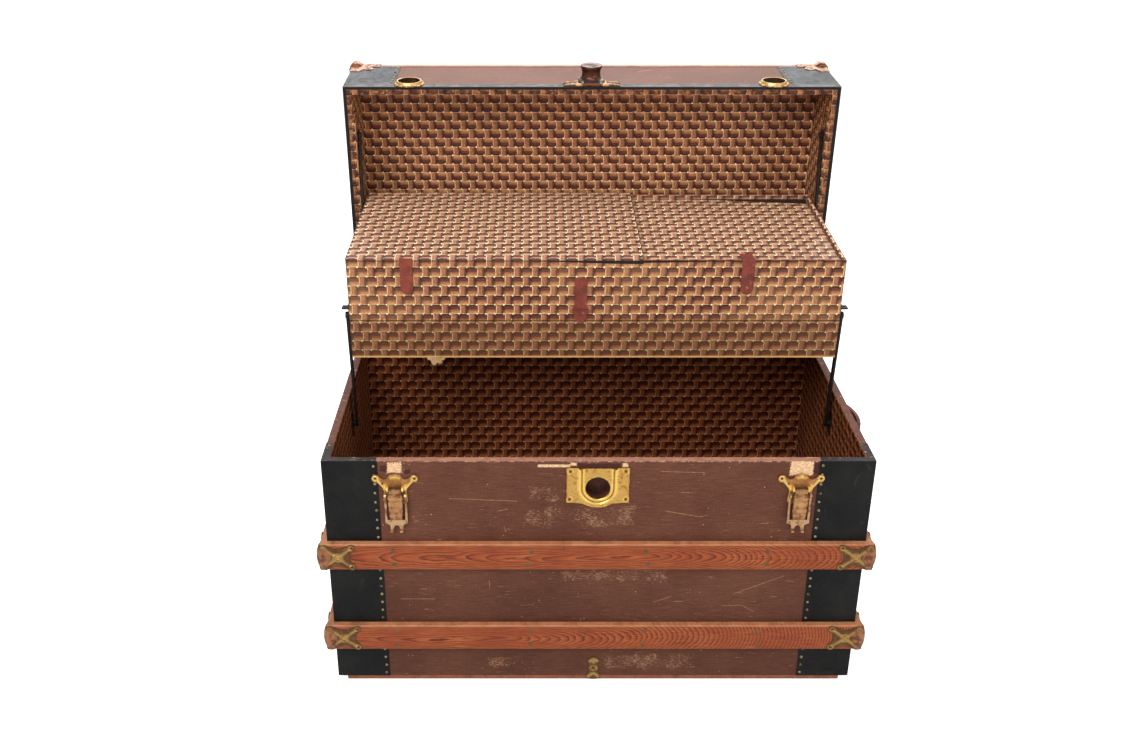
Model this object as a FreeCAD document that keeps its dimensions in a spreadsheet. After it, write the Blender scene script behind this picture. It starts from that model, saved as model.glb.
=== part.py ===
import FreeCAD, Part
import os
import re
import Sketcher

# A travelling trunk with a lid, a tray that lifts itself clear as the lid opens, two draw latches
# and a lock hasp. It stands open. Millimetres, +Z up, the front faces -Y, and the origin is on the
# floor under the middle of the trunk.

doc = FreeCAD.newDocument("Trunk")
sheet = doc.addObject("Spreadsheet::Sheet", "Sizes")

SIZES = [
    # the box
    ("body_w", 914, "width over the boards"),
    ("body_d", 508, "depth over the boards"),
    ("body_h", 441, "base boards, bottom edge to rim"),
    ("lid_h", 151, "lid walls, rim to top"),
    ("board_t", 12.5, "wall boards"),
    ("lining_t", 0.8, "lining paper on card"),
    ("rim_gap", 0.4, "closed lid above the base rim"),
    ("open_angle", 87.2, "lid, from closed to its stop"),
    ("pin_back", 5, "hinge pin behind the back boards"),
    ("pin_drop", 6, "hinge pin below the rim"),
    # trim
    ("binding_t", 1, "sheet steel bindings"),
    ("binding_w", 92, "corner binding on the front and back"),
    ("binding_side", 62, "corner binding on the ends"),
    ("band_h", 20, "edge band round the lid rim"),
    ("slat_t", 12, "hardwood slats"),
    ("slat_h", 51, "slat height"),
    ("slat_edge", 2, "eased slat edges"),
    ("upper_slat", 155, "upper slats' top below the rim"),
    ("lower_slat", 67, "lower slats above the bottom edge"),
    ("runner_t", 10, "runners under the bottom"),
    ("runner_w", 42, "runner width"),
    ("clamp_w", 20, "bottom clamp"),
    ("clamp_h", 40, "bottom clamp above the bottom edge"),
    ("runner_in", 15, "front and back runners in from the ends"),
    ("top_slats", 4, "slats on the lid"),
    # stamped corner bumpers
    ("cap_t", 1.2, "stamped brass"),
    ("cap_len", 60, "bumper arm on the front slat"),
    ("cap_side", 44, "bumper arm on the end slat"),
    ("cap_waist", 9, "hollow between the bumper's ears"),
    ("ball_r", 14, "rolled corner of a bumper"),
    ("ball_in", 6.3, "centre of the roll inside the corner"),
    ("tip_len", 54, "lid corner caps"),
    # lock
    ("lock_drop", 51, "lock hole below the rim"),
    ("lock_hole", 41, "round hole in the lock plate"),
    ("lock_w", 107, "lock plate width"),
    ("lock_top", 12, "lock plate top below the rim"),
    ("lock_h", 68, "lock plate height"),
    ("lock_bulge", 37, "rounded foot of the plate"),
    ("plate_t", 2, "cast brass plates"),
    ("ridge_t", 1.5, "ridge round the lock channel"),
    ("ridge_out", 31, "ridge, outside"),
    ("ridge_in", 23.5, "ridge, inside"),
    ("board_bore", 44, "bore through the front board"),
    ("case_w", 84, "lock case width"),
    ("case_h", 62, "lock case height"),
    ("case_t", 11, "lock case depth"),
    ("case_wall", 1.5, "lock case back"),
    ("knob_neck", 34, "hasp plug neck"),
    ("knob_flare", 40, "hasp plug flare"),
    ("knob_len", 24, "hasp plug length"),
    ("hasp_drop", 3, "hasp pin below the rim"),
    ("hasp_out", 5, "hasp pin in front of the boards"),
    ("hasp_t", 2, "hasp plate"),
    ("hasp_r", 24, "rounded hasp end"),
    ("hasp_neck", 36, "hasp width at its hinge"),
    ("hasp_pin", 2.6, "hasp pin"),
    ("hasp_plate_w", 105, "hasp hinge plate on the lid"),
    ("hasp_plate_h", 36, "hasp hinge plate height"),
    # draw latches and their catches
    ("latch_in", 120, "latches from the ends"),
    ("latch_t", 1.6, "latch plate"),
    ("latch_w", 76, "latch plate over its upper ears"),
    ("latch_pin_z", 50, "lever pin below the rim"),
    ("latch_pin_y", 8.5, "lever pin in front of the boards"),
    ("latch_throw", 12, "lever pin to hook pins"),
    ("latch_pin", 3, "latch pins"),
    ("lever_w", 21, "latch lever"),
    ("lever_len", 54, "latch lever length"),
    ("lever_t", 2, "latch lever plate"),
    ("hook_w", 37.5, "hook frame width"),
    ("hook_leg", 3.7, "hook frame legs"),
    ("hook_t", 3, "hook frame thickness"),
    ("hook_off", 0.3, "hook frame behind its pins, hanging"),
    ("hook_len", 68, "hook pins to fork tips"),
    ("fork_w", 21, "fork over both prongs"),
    ("fork_len", 14, "fork prongs"),
    ("fork_bend", 6, "turned fork tips"),
    ("tip_t", 2.4, "turned fork tips, thickness"),
    ("ring_z", 20.5, "catch ring above the rim"),
    ("ring_r", 29, "catch ring flange"),
    ("ring_hole", 41, "catch ring hole"),
    ("ring_rise", 7.5, "catch collar"),
    ("ring_wall", 2.2, "catch collar wall"),
    # tray
    ("tray_side", 13.7, "tray to the lining, each side"),
    ("tray_d", 340, "tray depth"),
    ("tray_h", 186, "tray wall height"),
    ("tray_t", 6, "tray boards"),
    ("tray_pitch", 2.3, "open tray, back raised"),
    ("seam_z", 73, "seam across the tray front"),
    ("seam_t", 1.2, "seam width and depth"),
    ("divider_x", 81, "tray divider, right face"),
    ("flap_t", 4, "tray lids"),
    ("flap_gap", 3, "right tray lid to the boards"),
    ("flap_slack", 9, "gap behind the right tray lid"),
    ("flap_sink", 4, "right tray lid below the tray edge"),
    ("cleat", 10, "cleats under the right tray lid"),
    # tray lift
    ("arm_y", 257.2, "arm pivot behind the front face"),
    ("arm_z", 63, "arm pivot below the rim"),
    ("arm_len", 228, "lift arm between pivots"),
    ("arm_lean", 6.22, "open arm, leaning forward"),
    ("arm_w", 13, "lift arm width"),
    ("arm_t", 4, "lift arm thickness"),
    ("link_t", 3, "lid link thickness"),
    ("link_w", 13, "lid link width"),
    ("pin_d", 8, "lift pivot pins"),
    ("pin_play", 0.08, "pin clearance, radial"),
    ("slack_play", 1.3, "clearance of the link's lower eye, radial"),
    ("side_gap", 3, "tray side to the arm"),
    ("tray_pivot_y", 9.7, "arm pivot on the tray, from its front"),
    ("tray_pivot_z", 78.9, "arm pivot on the tray, from its bottom"),
    ("tail_pivot_y", 269.5, "link pivot on the tray, from its front"),
    ("tail_pivot_z", 114.3, "link pivot on the tray, from its bottom"),
    ("link_y", 97, "link pivot in the lid, from its front"),
    ("link_z", 20, "link pivot in the lid, from the rim"),
    ("frame_t", 5.2, "strip inside the lid ends"),
    ("frame_h", 35, "strip height"),
    ("frame_front", 52, "strip from the lid front"),
    ("rivet_head", 12, "pivot heads"),
    ("head_t", 1, "pivot head thickness"),
    ("lug_t", 1.5, "pivot plates"),
    ("lug_w", 18, "pivot plates, width"),
    ("lug_h", 36, "pivot plates, height"),
    ("tab_reach", 13, "turned-out tab over each arm"),
    ("tab_w", 14, "turned-out tab, width"),
    ("tab_t", 2.4, "turned-out tab, thickness"),
    ("tab_lift", 8, "turned-out tab above the arm's eye"),
    # leather
    ("strap_w", 22, "leather tabs"),
    ("strap_t", 2.5, "leather thickness"),
    ("strap_len", 63, "tabs on the tray lids"),
    ("strap_off", 0.3, "leather clear of the tray front"),
    ("left_tab_x", -326, "tab of the left tray lid"),
    ("right_tab_x", 262, "tab of the right tray lid"),
    ("middle_strap_x", -25, "strap on the tray front"),
    ("middle_strap_z", 70, "strap foot above the tray bottom"),
    ("middle_strap_len", 84, "strap on the tray front, length"),
    ("handle_z", 60, "end handle below the rim"),
    ("handle_span", 178, "end handle between its loops"),
    ("handle_rise", 38, "end handle stands out"),
    ("handle_w", 24, "end handle width"),
    ("handle_t", 6, "end handle leather"),
    ("tail_len", 26, "flat tails of the handle"),
    ("loop_t", 1.6, "steel loops over the tails"),
    ("loop_w", 16, "loop width"),
    # back hinges
    ("hinge_in", 157, "outer hinges from the ends"),
    ("hinge_w", 60, "hinge width"),
    ("leaf_h", 62, "hinge leaf"),
    ("leaf_t", 2, "hinge leaf thickness"),
    ("barrel_r", 4, "hinge barrel"),
    ("barrel_pin", 4, "hinge pin"),
]
ALIASES = {name for name, _, _ in SIZES}
for row, (name, value, note) in enumerate(SIZES, 1):
    sheet.set("A%d" % row, name)
    sheet.set("B%d" % row, str(value))
    sheet.set("C%d" % row, note)
    sheet.setAlias("B%d" % row, name)
doc.recompute()

nodes = {}


# ---------------------------------------------------------------- formulas and places

def formula(text):
    """Spell a formula of sizes the way the document's expressions want it."""
    return re.sub(r"[a-z]\w*", lambda w: "Sizes." + w[0] if w[0] in ALIASES else w[0], str(text))


def spot(x=0, y=0, z=0, turn=0, about="1; 0; 0"):
    """A place, turned by an angle about an axis of its own."""
    at = "vector(%s; %s; %s)" % (formula(x), formula(y), formula(z))
    return "placement(%s; rotation(vector(%s); %s))" % (at, about, formula(turn))


def along(*steps):
    return " * ".join(step for step in steps if step)


def add(kind, name):
    return doc.addObject(kind, name)


def bind(piece, **sizes):
    for name, text in sizes.items():
        piece.setExpression(name, formula(text))
    return piece


def put(piece, *steps):
    piece.setExpression("Placement", along(*steps))
    return piece


def node(label, piece):
    """A finished piece of the trunk, which is written to a file of its own."""
    piece.Label = label
    nodes[label] = piece
    return piece


# Places that other pieces are carried by. The base is measured from its front face and its rim,
# the closed lid too, and the tray from its front bottom edge.
RIM_Z = "runner_t + body_h"
BASE = spot(0, "-body_d / 2", RIM_Z)
LID_PIN = along(BASE, spot(0, "body_d + pin_back", "-pin_drop", "-open_angle"))
LID = along(LID_PIN, spot(0, "-body_d - pin_back", "pin_drop + rim_gap"))
ARM = along(BASE, spot(0, "arm_y", "-arm_z", "arm_lean"))
TRAY = along(ARM, spot(0, 0, "arm_len", "tray_pitch - arm_lean"),
             spot(0, "-tray_pivot_y", "-tray_pivot_z"))

# The link hangs from its pivot in the lid to its pivot on the tray. Both are worked out in the
# base's side view, so the link follows the lid, the arm and the tray.
TAIL_Y = ("(arm_y - arm_len * sin(arm_lean) + (tail_pivot_y - tray_pivot_y) * cos(tray_pitch)"
          " - (tail_pivot_z - tray_pivot_z) * sin(tray_pitch))")
TAIL_Z = ("(-arm_z + arm_len * cos(arm_lean) + (tail_pivot_y - tray_pivot_y) * sin(tray_pitch)"
          " + (tail_pivot_z - tray_pivot_z) * cos(tray_pitch))")
HEAD_Y = ("(body_d + pin_back - (body_d + pin_back - link_y) * cos(open_angle)"
          " + (link_z + pin_drop + rim_gap) * sin(open_angle))")
HEAD_Z = ("(-pin_drop + (body_d + pin_back - link_y) * sin(open_angle)"
          " + (link_z + pin_drop + rim_gap) * cos(open_angle))")
LINK_LEN = "sqrt((%s - %s)^2 + (%s - %s)^2)" % (HEAD_Y, TAIL_Y, HEAD_Z, TAIL_Z)
LINK = along(BASE, spot(0, HEAD_Y, HEAD_Z,
                        "atan2(%s - %s; %s - %s)" % (TAIL_Y, HEAD_Y, HEAD_Z, TAIL_Z)))

SIDES = {"left": -1, "right": 1}
INSIDE_X = "(body_w / 2 - board_t - lining_t)"
TRAY_W = "(body_w - 2 * (board_t + lining_t + tray_side))"
HALF_TRAY = "(body_w / 2 - board_t - lining_t - tray_side)"
ARM_X = "(%s + side_gap)" % HALF_TRAY
LEVELS = {"upper": "-upper_slat - slat_h", "lower": "-body_h + lower_slat"}
LATCH_X = "(body_w / 2 - latch_in)"
HINGE_X = "(body_w / 2 - hinge_in)"


# ---------------------------------------------------------------- simple solids

def block(name, x, y, z, w, d, tall, seat=""):
    box = bind(add("Part::Box", name), Length=w, Width=d, Height=tall)
    return put(box, seat, spot(x, y, z))


TURNS = {"z": (0, "1; 0; 0"), "x": (90, "0; 1; 0"), "y": (-90, "1; 0; 0")}


def rod(name, x, y, z, radius, length, axis="z"):
    """A round bar from a point, along an axis."""
    bar = bind(add("Part::Cylinder", name), Radius=radius, Height=length)
    return put(bar, spot(x, y, z, *TURNS[axis]))


def peg(name, x, y, z, radius, length, axis="z", sides=10):
    """A many-sided bar from a point, for rounds that nothing turns on."""
    bar = bind(add("Part::Prism", name), Circumradius=radius, Height=length)
    bar.Polygon = sides
    return put(bar, spot(x, y, z, *TURNS[axis]))


def joined(name, pieces, *steps):
    whole = add("Part::MultiFuse", name)
    whole.Shapes = pieces
    return put(whole, *steps) if steps else whole


def less(name, stock, tools, *steps):
    cut = add("Part::Cut", name)
    cut.Base = stock
    cut.Tool = tools[0] if len(tools) == 1 else joined(name + "_tools", tools)
    return put(cut, *steps) if steps else cut


def group(name, pieces, *steps):
    """Separate solids that share one file."""
    bundle = add("Part::Compound", name)
    bundle.Links = pieces
    return put(bundle, *steps) if steps else bundle


def mirror(name, piece, normal, *steps):
    other = add("Part::Mirroring", name)
    other.Source = piece
    other.Base = (0, 0, 0)
    other.Normal = normal
    return put(other, *steps) if steps else other


# ---------------------------------------------------------------- sketched solids

def value(text):
    """What a formula of sizes comes to, to start a sketch near its solution."""
    if "sqrt" in str(text):
        return 200.0
    scope = {name: float(sheet.get(name)) for name in ALIASES}
    terms = re.sub(r"[a-z]\w*", lambda w: repr(scope[w[0]]), str(text))
    return float(FreeCAD.Units.parseQuantity(terms))


def body(name, *steps):
    made = add("PartDesign::Body", name)
    return put(made, *steps) if steps else made


def sketch(host, plane, lift=0):
    """A sketch on one of the body's own planes, lifted off it along the plane's normal."""
    drawn = host.newObject("Sketcher::SketchObject", host.Name + "_sketch")
    drawn.AttachmentSupport = [(o, "") for o in host.Origin.OriginFeatures if o.Role == plane]
    drawn.MapMode = "FlatFace"
    drawn.setExpression("AttachmentOffset", spot(0, 0, lift))
    return drawn


def tie(drawn, kind, *what):
    """A constraint whose last item is a formula of sizes."""
    *where, text = what
    made = drawn.addConstraint(Sketcher.Constraint(kind, *where, value(text)))
    drawn.setExpression("Constraints[%d]" % made, formula(text))


def outline(drawn, points):
    """A closed run of straight edges through points given as formulas."""
    spots = [FreeCAD.Vector(value(x), value(y), 0) for x, y in points]
    first = drawn.GeometryCount
    count = len(points)
    for n in range(count):
        drawn.addGeometry(Part.LineSegment(spots[n], spots[(n + 1) % count]), False)
    for n in range(count):
        after = first + (n + 1) % count
        drawn.addConstraint(Sketcher.Constraint("Coincident", first + n, 2, after, 1))
        tie(drawn, "DistanceX", -1, 1, first + n, 1, points[n][0])
        tie(drawn, "DistanceY", -1, 1, first + n, 1, points[n][1])


def disc(drawn, x, y, radius):
    made = drawn.GeometryCount
    centre = FreeCAD.Vector(value(x), value(y), 0)
    drawn.addGeometry(Part.Circle(centre, FreeCAD.Vector(0, 0, 1), value(radius)), False)
    tie(drawn, "DistanceX", -1, 1, made, 3, x)
    tie(drawn, "DistanceY", -1, 1, made, 3, y)
    tie(drawn, "Radius", made, radius)


def capsule(drawn, length, width):
    """A strip with round ends, from the sketch's origin along its +Y."""
    far, half = value(length), value(width) / 2
    point = FreeCAD.Vector
    up = point(0, 0, 1)
    drawn.addGeometry(Part.LineSegment(point(half, 0, 0), point(half, far, 0)), False)
    drawn.addGeometry(Part.ArcOfCircle(Part.Circle(point(0, far, 0), up, half), 0, 3.14159), False)
    drawn.addGeometry(Part.LineSegment(point(-half, far, 0), point(-half, 0, 0)), False)
    drawn.addGeometry(Part.ArcOfCircle(Part.Circle(point(0, 0, 0), up, half), 3.14159, 6.28318), False)
    for one, end, other, start in ((0, 2, 1, 1), (1, 2, 2, 1), (2, 2, 3, 1), (3, 2, 0, 1)):
        drawn.addConstraint(Sketcher.Constraint("Tangent", one, end, other, start))
    drawn.addConstraint(Sketcher.Constraint("Coincident", 3, 3, -1, 1))
    drawn.addConstraint(Sketcher.Constraint("Vertical", 0))
    tie(drawn, "Radius", 3, "(%s) / 2" % width)
    tie(drawn, "DistanceY", -1, 1, 1, 3, length)


def pad(host, drawn, length, back=False):
    grown = bind(host.newObject("PartDesign::Pad", host.Name + "_pad"), Length=length)
    grown.Profile = drawn
    grown.Reversed = back
    return grown


def pocket(host, drawn, depth, back=False):
    sunk = bind(host.newObject("PartDesign::Pocket", host.Name + "_pocket"), Length=depth)
    sunk.Profile = drawn
    sunk.Reversed = back
    return sunk


# ---------------------------------------------------------------- wooden box and lid

def walls(name, tall, floor_z, low, seat, lining):
    """Four wall boards and the board that closes the box, with the lining inside."""
    inner_w = "body_w - 2 * board_t"
    inner_d = "body_d - 2 * board_t"
    side_x = {"left": "-body_w / 2", "right": "body_w / 2 - board_t"}
    back = block(name + "_back_board", "-body_w / 2", "body_d - board_t", low,
                 "body_w", "board_t", tall, seat)
    node(name + "_back_board", back)
    for side, x in side_x.items():
        board = block(name + "_" + side + "_board", x, "board_t", low,
                      "board_t", inner_d, tall, seat)
        node(name + "_" + side + "_board", board)
    closing = block(name + "_closing", "-body_w / 2 + board_t", "board_t", floor_z,
                    inner_w, inner_d, "board_t", seat)
    node(name + lining["board"], closing)
    outer = block(name + "_lining_out", "-body_w / 2 + board_t", "board_t", lining["low"],
                  inner_w, inner_d, lining["tall"])
    hollow = block(name + "_lining_in", "-body_w / 2 + board_t + lining_t", "board_t + lining_t",
                   lining["hollow"], inner_w + " - 2 * lining_t", inner_d + " - 2 * lining_t",
                   lining["tall"])
    node(name + "_lining", less(name + "_lining", outer, [hollow] + lining["cuts"], seat))


def base_box():
    case_hole = block("case_hole", "-case_w / 2", "board_t", "-lock_drop - case_h / 2",
                      "case_w", "lining_t", "case_h")
    walls("base", "body_h", "-body_h", "-body_h", BASE, {
        "board": "_bottom_board", "low": "-body_h + board_t", "tall": "body_h - board_t",
        "hollow": "-body_h + board_t + lining_t", "cuts": [case_hole]})
    plank = block("front_plank", "-body_w / 2", 0, "-body_h", "body_w", "board_t", "body_h")
    bore = rod("front_bore", 0, 0, "-lock_drop", "board_bore / 2", "board_t", "y")
    node("base_front_board", less("base_front_board", plank, [bore], BASE))


def lid_box():
    walls("lid", "lid_h", "lid_h - board_t", 0, LID, {
        "board": "_top_board", "low": 0, "tall": "lid_h - board_t",
        "hollow": "-lining_t", "cuts": []})
    front = block("lid_front", "-body_w / 2", 0, 0, "body_w", "board_t", "lid_h", LID)
    node("lid_front_board", front)
    strips = []
    for side, sign in SIDES.items():
        x = {"left": "-" + INSIDE_X, "right": INSIDE_X + " - frame_t"}[side]
        strips.append(block("lid_strip_" + side, x, "frame_front", 0, "frame_t",
                            "body_d - frame_front - board_t - lining_t", "frame_h"))
    node("lid_end_strips", group("lid_end_strips", strips, LID))


# ---------------------------------------------------------------- bindings, slats, bumpers

def corner_angle(name, tall):
    """A sheet angle round the front left corner, which is at the origin."""
    angle = body(name)
    plan = sketch(angle, "XY_Plane")
    outline(plan, [("-binding_t", "-binding_t"), ("binding_w", "-binding_t"), ("binding_w", 0),
                   (0, 0), (0, "binding_side"), ("-binding_t", "binding_side")])
    pad(angle, plan, tall)
    return angle


def four_corners(name, piece, z, back_y="body_d"):
    """Copies of a front left corner piece on all four corners."""
    right = mirror(name + "_right", piece, (1, 0, 0))
    back = mirror(name + "_back", piece, (0, 1, 0))
    far = mirror(name + "_far", right, (0, 1, 0))
    places = [(piece, "-body_w / 2", 0), (right, "body_w / 2", 0),
              (back, "-body_w / 2", back_y), (far, "body_w / 2", back_y)]
    return [group("%s_at_%d" % (name, n), [copy], spot(x, y, z))
            for n, (copy, x, y) in enumerate(places)]


def bindings():
    base_set = four_corners("base_angle", corner_angle("base_angle", "body_h"), "-body_h")
    node("base_corner_bindings", group("base_corner_bindings", base_set, BASE))
    lid_set = four_corners("lid_angle", corner_angle("lid_angle", "lid_h - band_h"), "band_h")
    node("lid_corner_bindings", group("lid_corner_bindings", lid_set, LID))
    outer = block("band_out", "-body_w / 2 - binding_t", "-binding_t", 0,
                  "body_w + 2 * binding_t", "body_d + 2 * binding_t", "band_h")
    inner = block("band_in", "-body_w / 2", 0, 0, "body_w", "body_d", "band_h")
    node("lid_edge_band", less("lid_edge_band", outer, [inner], LID))


def slat(name, length, *steps):
    """A slat along +X, its back on the XZ plane and its foot at z = 0, edges eased."""
    strip = body(name, *steps)
    end = sketch(strip, "YZ_Plane")
    outline(end, [(0, 0), ("-slat_t + slat_edge", 0), ("-slat_t", "slat_edge"),
                  ("-slat_t", "slat_h - slat_edge"), ("-slat_t + slat_edge", "slat_h"),
                  (0, "slat_h")])
    pad(strip, end, length)
    return strip


def slats():
    front_len = "body_w + 2 * binding_t + 2 * slat_t"
    end_len = "body_d + 2 * binding_t"
    for level, up in LEVELS.items():
        at = spot("-(%s) / 2" % front_len, "-binding_t", up)
        node(level + "_front_slat", slat(level + "_front_slat", front_len, BASE, at))
    for side, sign in SIDES.items():
        pair = []
        for level, up in LEVELS.items():
            # the end slats start behind the front slats and run to the back corner
            turn = 90 * sign
            y = {"left": "body_d + binding_t", "right": "-binding_t"}[side]
            at = spot("%d * (body_w / 2 + binding_t)" % sign, y, up, turn, "0; 0; 1")
            pair.append(slat("%s_end_%s" % (side, level), end_len, at))
        node(side + "_end_slats", group(side + "_end_slats", pair, BASE))
    tops = []
    for n in range(int(sheet.get("top_slats"))):
        y = "-binding_t + %d * (body_d + 2 * binding_t - slat_h) / (top_slats - 1)" % n
        at = spot("-body_w / 2 - binding_t", y, "lid_h", -90)
        tops.append(slat("top_slat_%d" % n, "body_w + 2 * binding_t", at))
    node("lid_slats", group("lid_slats", tops, LID))


def eared(host, plane, length):
    """A stamped arm with two ears at its end and a hollow waist, along the sketch's +X."""
    arm = sketch(host, plane, 0)
    outline(arm, [("-cap_t", 0), ("%s - cap_waist" % length, 0), (length, "cap_waist / 3"),
                  ("%s - cap_waist" % length, "cap_waist * 1.6"),
                  ("%s - 1.5 * cap_waist" % length, "slat_h / 2"),
                  ("%s - cap_waist" % length, "slat_h - cap_waist * 1.6"),
                  (length, "slat_h - cap_waist / 3"), ("%s - cap_waist" % length, "slat_h"),
                  ("-cap_t", "slat_h")])
    pad(host, arm, "cap_t")


def bumper(name):
    """A stamped cap over a slat's corner, which is at the origin, with a rolled corner."""
    front = body(name + "_front")
    eared(front, "XZ_Plane", "cap_len")
    # the arm on the end slat: sketched on YZ, so it grows along +X and is set back by its sheet
    side = body(name + "_side", spot("-cap_t", 0, 0))
    eared(side, "YZ_Plane", "cap_side")
    belly = peg(name + "_belly", "ball_in", "ball_in", "slat_h * 0.2", "ball_r", "slat_h * 0.6")
    roll = peg(name + "_roll", "ball_in", "ball_in", "slat_h * 0.08", "ball_r * 0.85",
               "slat_h * 0.84")
    corner = block(name + "_wood", 0, 0, "-slat_h", "2 * cap_len", "2 * cap_len", "3 * slat_h")
    shell = less(name + "_shell", joined(name + "_round", [belly, roll]), [corner])
    return joined(name, [front, side, shell])


def bumpers():
    slat_x = "(body_w / 2 + binding_t + slat_t)"
    rows = {"front": "-binding_t - slat_t", "back": "body_d + binding_t"}
    for row, y in rows.items():
        four = []
        for level, up in LEVELS.items():
            stamped = bumper("%s_%s_bumper" % (row, level))
            if row == "back":
                stamped = mirror("%s_%s_turned" % (row, level), stamped, (0, 1, 0))
            twin = mirror("%s_%s_twin" % (row, level), stamped, (1, 0, 0))
            four.append(group("%s_%s_left" % (row, level), [stamped], spot("-" + slat_x, y, up)))
            four.append(group("%s_%s_right" % (row, level), [twin], spot(slat_x, y, up)))
        node(row + "_bumpers", group(row + "_bumpers", four, BASE))


def corner_caps():
    """Three-way brass caps over the top corners of the lid, on the edge slats."""
    out_x = "(body_w / 2 + binding_t)"
    top = "(lid_h + slat_t)"
    leaves = []
    for plane in ("XY_Plane", "XZ_Plane", "YZ_Plane"):
        # one leaf on each face, all three from the corner, with a waved edge
        down = "-" if plane != "XY_Plane" else ""
        leaf = body("tip_" + plane[:2].lower(), spot("-cap_t" if plane == "YZ_Plane" else 0, 0, 0))
        face = sketch(leaf, plane)
        far = "tip_len"
        outline(face, [("-cap_t", "cap_t" if down else "-cap_t"),
                       (far, "cap_t" if down else "-cap_t"), (far, down + "tip_len * 0.3"),
                       ("tip_len * 0.72", down + "tip_len * 0.42"),
                       ("tip_len * 0.8", down + "tip_len * 0.66"),
                       ("tip_len * 0.66", down + "tip_len * 0.8"),
                       ("tip_len * 0.42", down + "tip_len * 0.72"),
                       ("tip_len * 0.3", down + far), ("-cap_t", down + far)])
        pad(leaf, face, "cap_t")
        leaves.append(leaf)
    belly = peg("tip_belly", "ball_in", "ball_in", "-ball_r - 2", "ball_r", "ball_r + 3")
    crown = peg("tip_crown", "ball_in", "ball_in", "-ball_r - 8", "ball_r * 0.8", "ball_r + 13")
    roll = joined("tip_roll", [belly, crown])
    wood = block("tip_wood", 0, 0, "-3 * tip_len", "3 * tip_len", "3 * tip_len", "3 * tip_len")
    tip = joined("tip", leaves + [less("tip_shell", roll, [wood])])
    twin = mirror("tip_right", tip, (1, 0, 0))
    rear = mirror("tip_rear", tip, (0, 1, 0))
    far = mirror("tip_far", twin, (0, 1, 0))
    front_y, back_y = "-binding_t", "body_d + binding_t"
    places = [(tip, "-" + out_x, front_y), (twin, out_x, front_y),
              (rear, "-" + out_x, back_y), (far, out_x, back_y)]
    put_caps = [group("cap_%d" % n, [piece], spot(x, y, top))
                for n, (piece, x, y) in enumerate(places)]
    node("lid_corner_caps", group("lid_corner_caps", put_caps, LID))


def bottom():
    low = "-body_h - runner_t"
    inset = "binding_t * 2"
    middle_d = "body_d - 2 * runner_w - 4 * binding_t"
    long_x, long_w = "-body_w / 2 + runner_in", "body_w - 2 * runner_in"
    rails = [
        block("runner_front", long_x, inset, low, long_w, "runner_w", "runner_t"),
        block("runner_back", long_x, "body_d - runner_w - 2 * binding_t", low,
              long_w, "runner_w", "runner_t"),
        block("runner_middle", "-slat_h / 2", "runner_w + 2 * binding_t", low,
              "slat_h", middle_d, "runner_t")]
    node("bottom_runners", group("bottom_runners", rails, BASE))
    # a stamped clamp on the front and back edge, over the middle runner
    clamp = body("clamp")
    face = sketch(clamp, "XZ_Plane")
    half = [(0.9, -0.2), (1, 0.1), (0.7, 0.3), (1, 0.55), (0.6, 0.85)]
    right = [("clamp_w / 2 * %g" % x, "clamp_h * %g" % z) for x, z in half]
    left = [("-" + x, z) for x, z in reversed(right)]
    outline(face, right + [(0, "clamp_h")] + left)
    pad(clamp, face, "cap_t")
    boss = peg("clamp_boss", 0, "-cap_t * 3.5", "clamp_h * 0.43", "clamp_w / 3", "cap_t * 3",
               "y", 8)
    front = joined("clamp_front", [clamp, boss])
    rear = mirror("clamp_rear", front, (0, 1, 0))
    pair = [group("clamp_a", [front], spot(0, 0, "-body_h")),
            group("clamp_b", [rear], spot(0, "body_d", "-body_h"))]
    node("bottom_clamps", group("bottom_clamps", pair, BASE))


# ---------------------------------------------------------------- lock and hasp

def lock():
    """A plate with a round hole, inside a ridge that runs round it like a horseshoe."""
    plate = body("lock_plate", BASE)
    face = sketch(plate, "XZ_Plane")
    foot = "-lock_top - lock_h"
    outline(face, [("-lock_w / 2", foot), ("lock_w / 2", foot),
                   ("lock_w / 2", "-lock_top"), ("-lock_w / 2", "-lock_top")])
    pad(plate, face, "plate_t")
    lobe = sketch(plate, "XZ_Plane")
    disc(lobe, 0, "-lock_drop", "lock_bulge")
    pad(plate, lobe, "plate_t")
    bend = sketch(plate, "XZ_Plane")
    disc(bend, 0, "-lock_drop", "ridge_out")
    pad(plate, bend, "plate_t + ridge_t")
    legs = sketch(plate, "XZ_Plane")
    outline(legs, [("-ridge_out", "-lock_drop"), ("ridge_out", "-lock_drop"),
                   ("ridge_out", "-lock_top"), ("-ridge_out", "-lock_top")])
    pad(plate, legs, "plate_t + ridge_t")
    # the channel is sunk back to the plate from above it
    round_way = sketch(plate, "XZ_Plane", "plate_t")
    disc(round_way, 0, "-lock_drop", "ridge_in")
    pocket(plate, round_way, "3 * ridge_t", True)
    way = sketch(plate, "XZ_Plane", "plate_t")
    outline(way, [("-ridge_in", "-lock_drop"), ("ridge_in", "-lock_drop"),
                  ("ridge_in", "-lock_top + 1"), ("-ridge_in", "-lock_top + 1")])
    pocket(plate, way, "3 * ridge_t", True)
    hole = sketch(plate, "XZ_Plane", "-1")
    disc(hole, 0, "-lock_drop", "lock_hole / 2")
    pocket(plate, hole, "plate_t + 2", True)
    node("lock_plate", plate)
    stock = block("case_stock", "-case_w / 2", "board_t", "-lock_drop - case_h / 2",
                  "case_w", "case_t", "case_h")
    well = rod("case_well", 0, "board_t", "-lock_drop", "board_bore / 2",
               "case_t - case_wall", "y")
    node("lock_case", less("lock_case", stock, [well], BASE))


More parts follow.
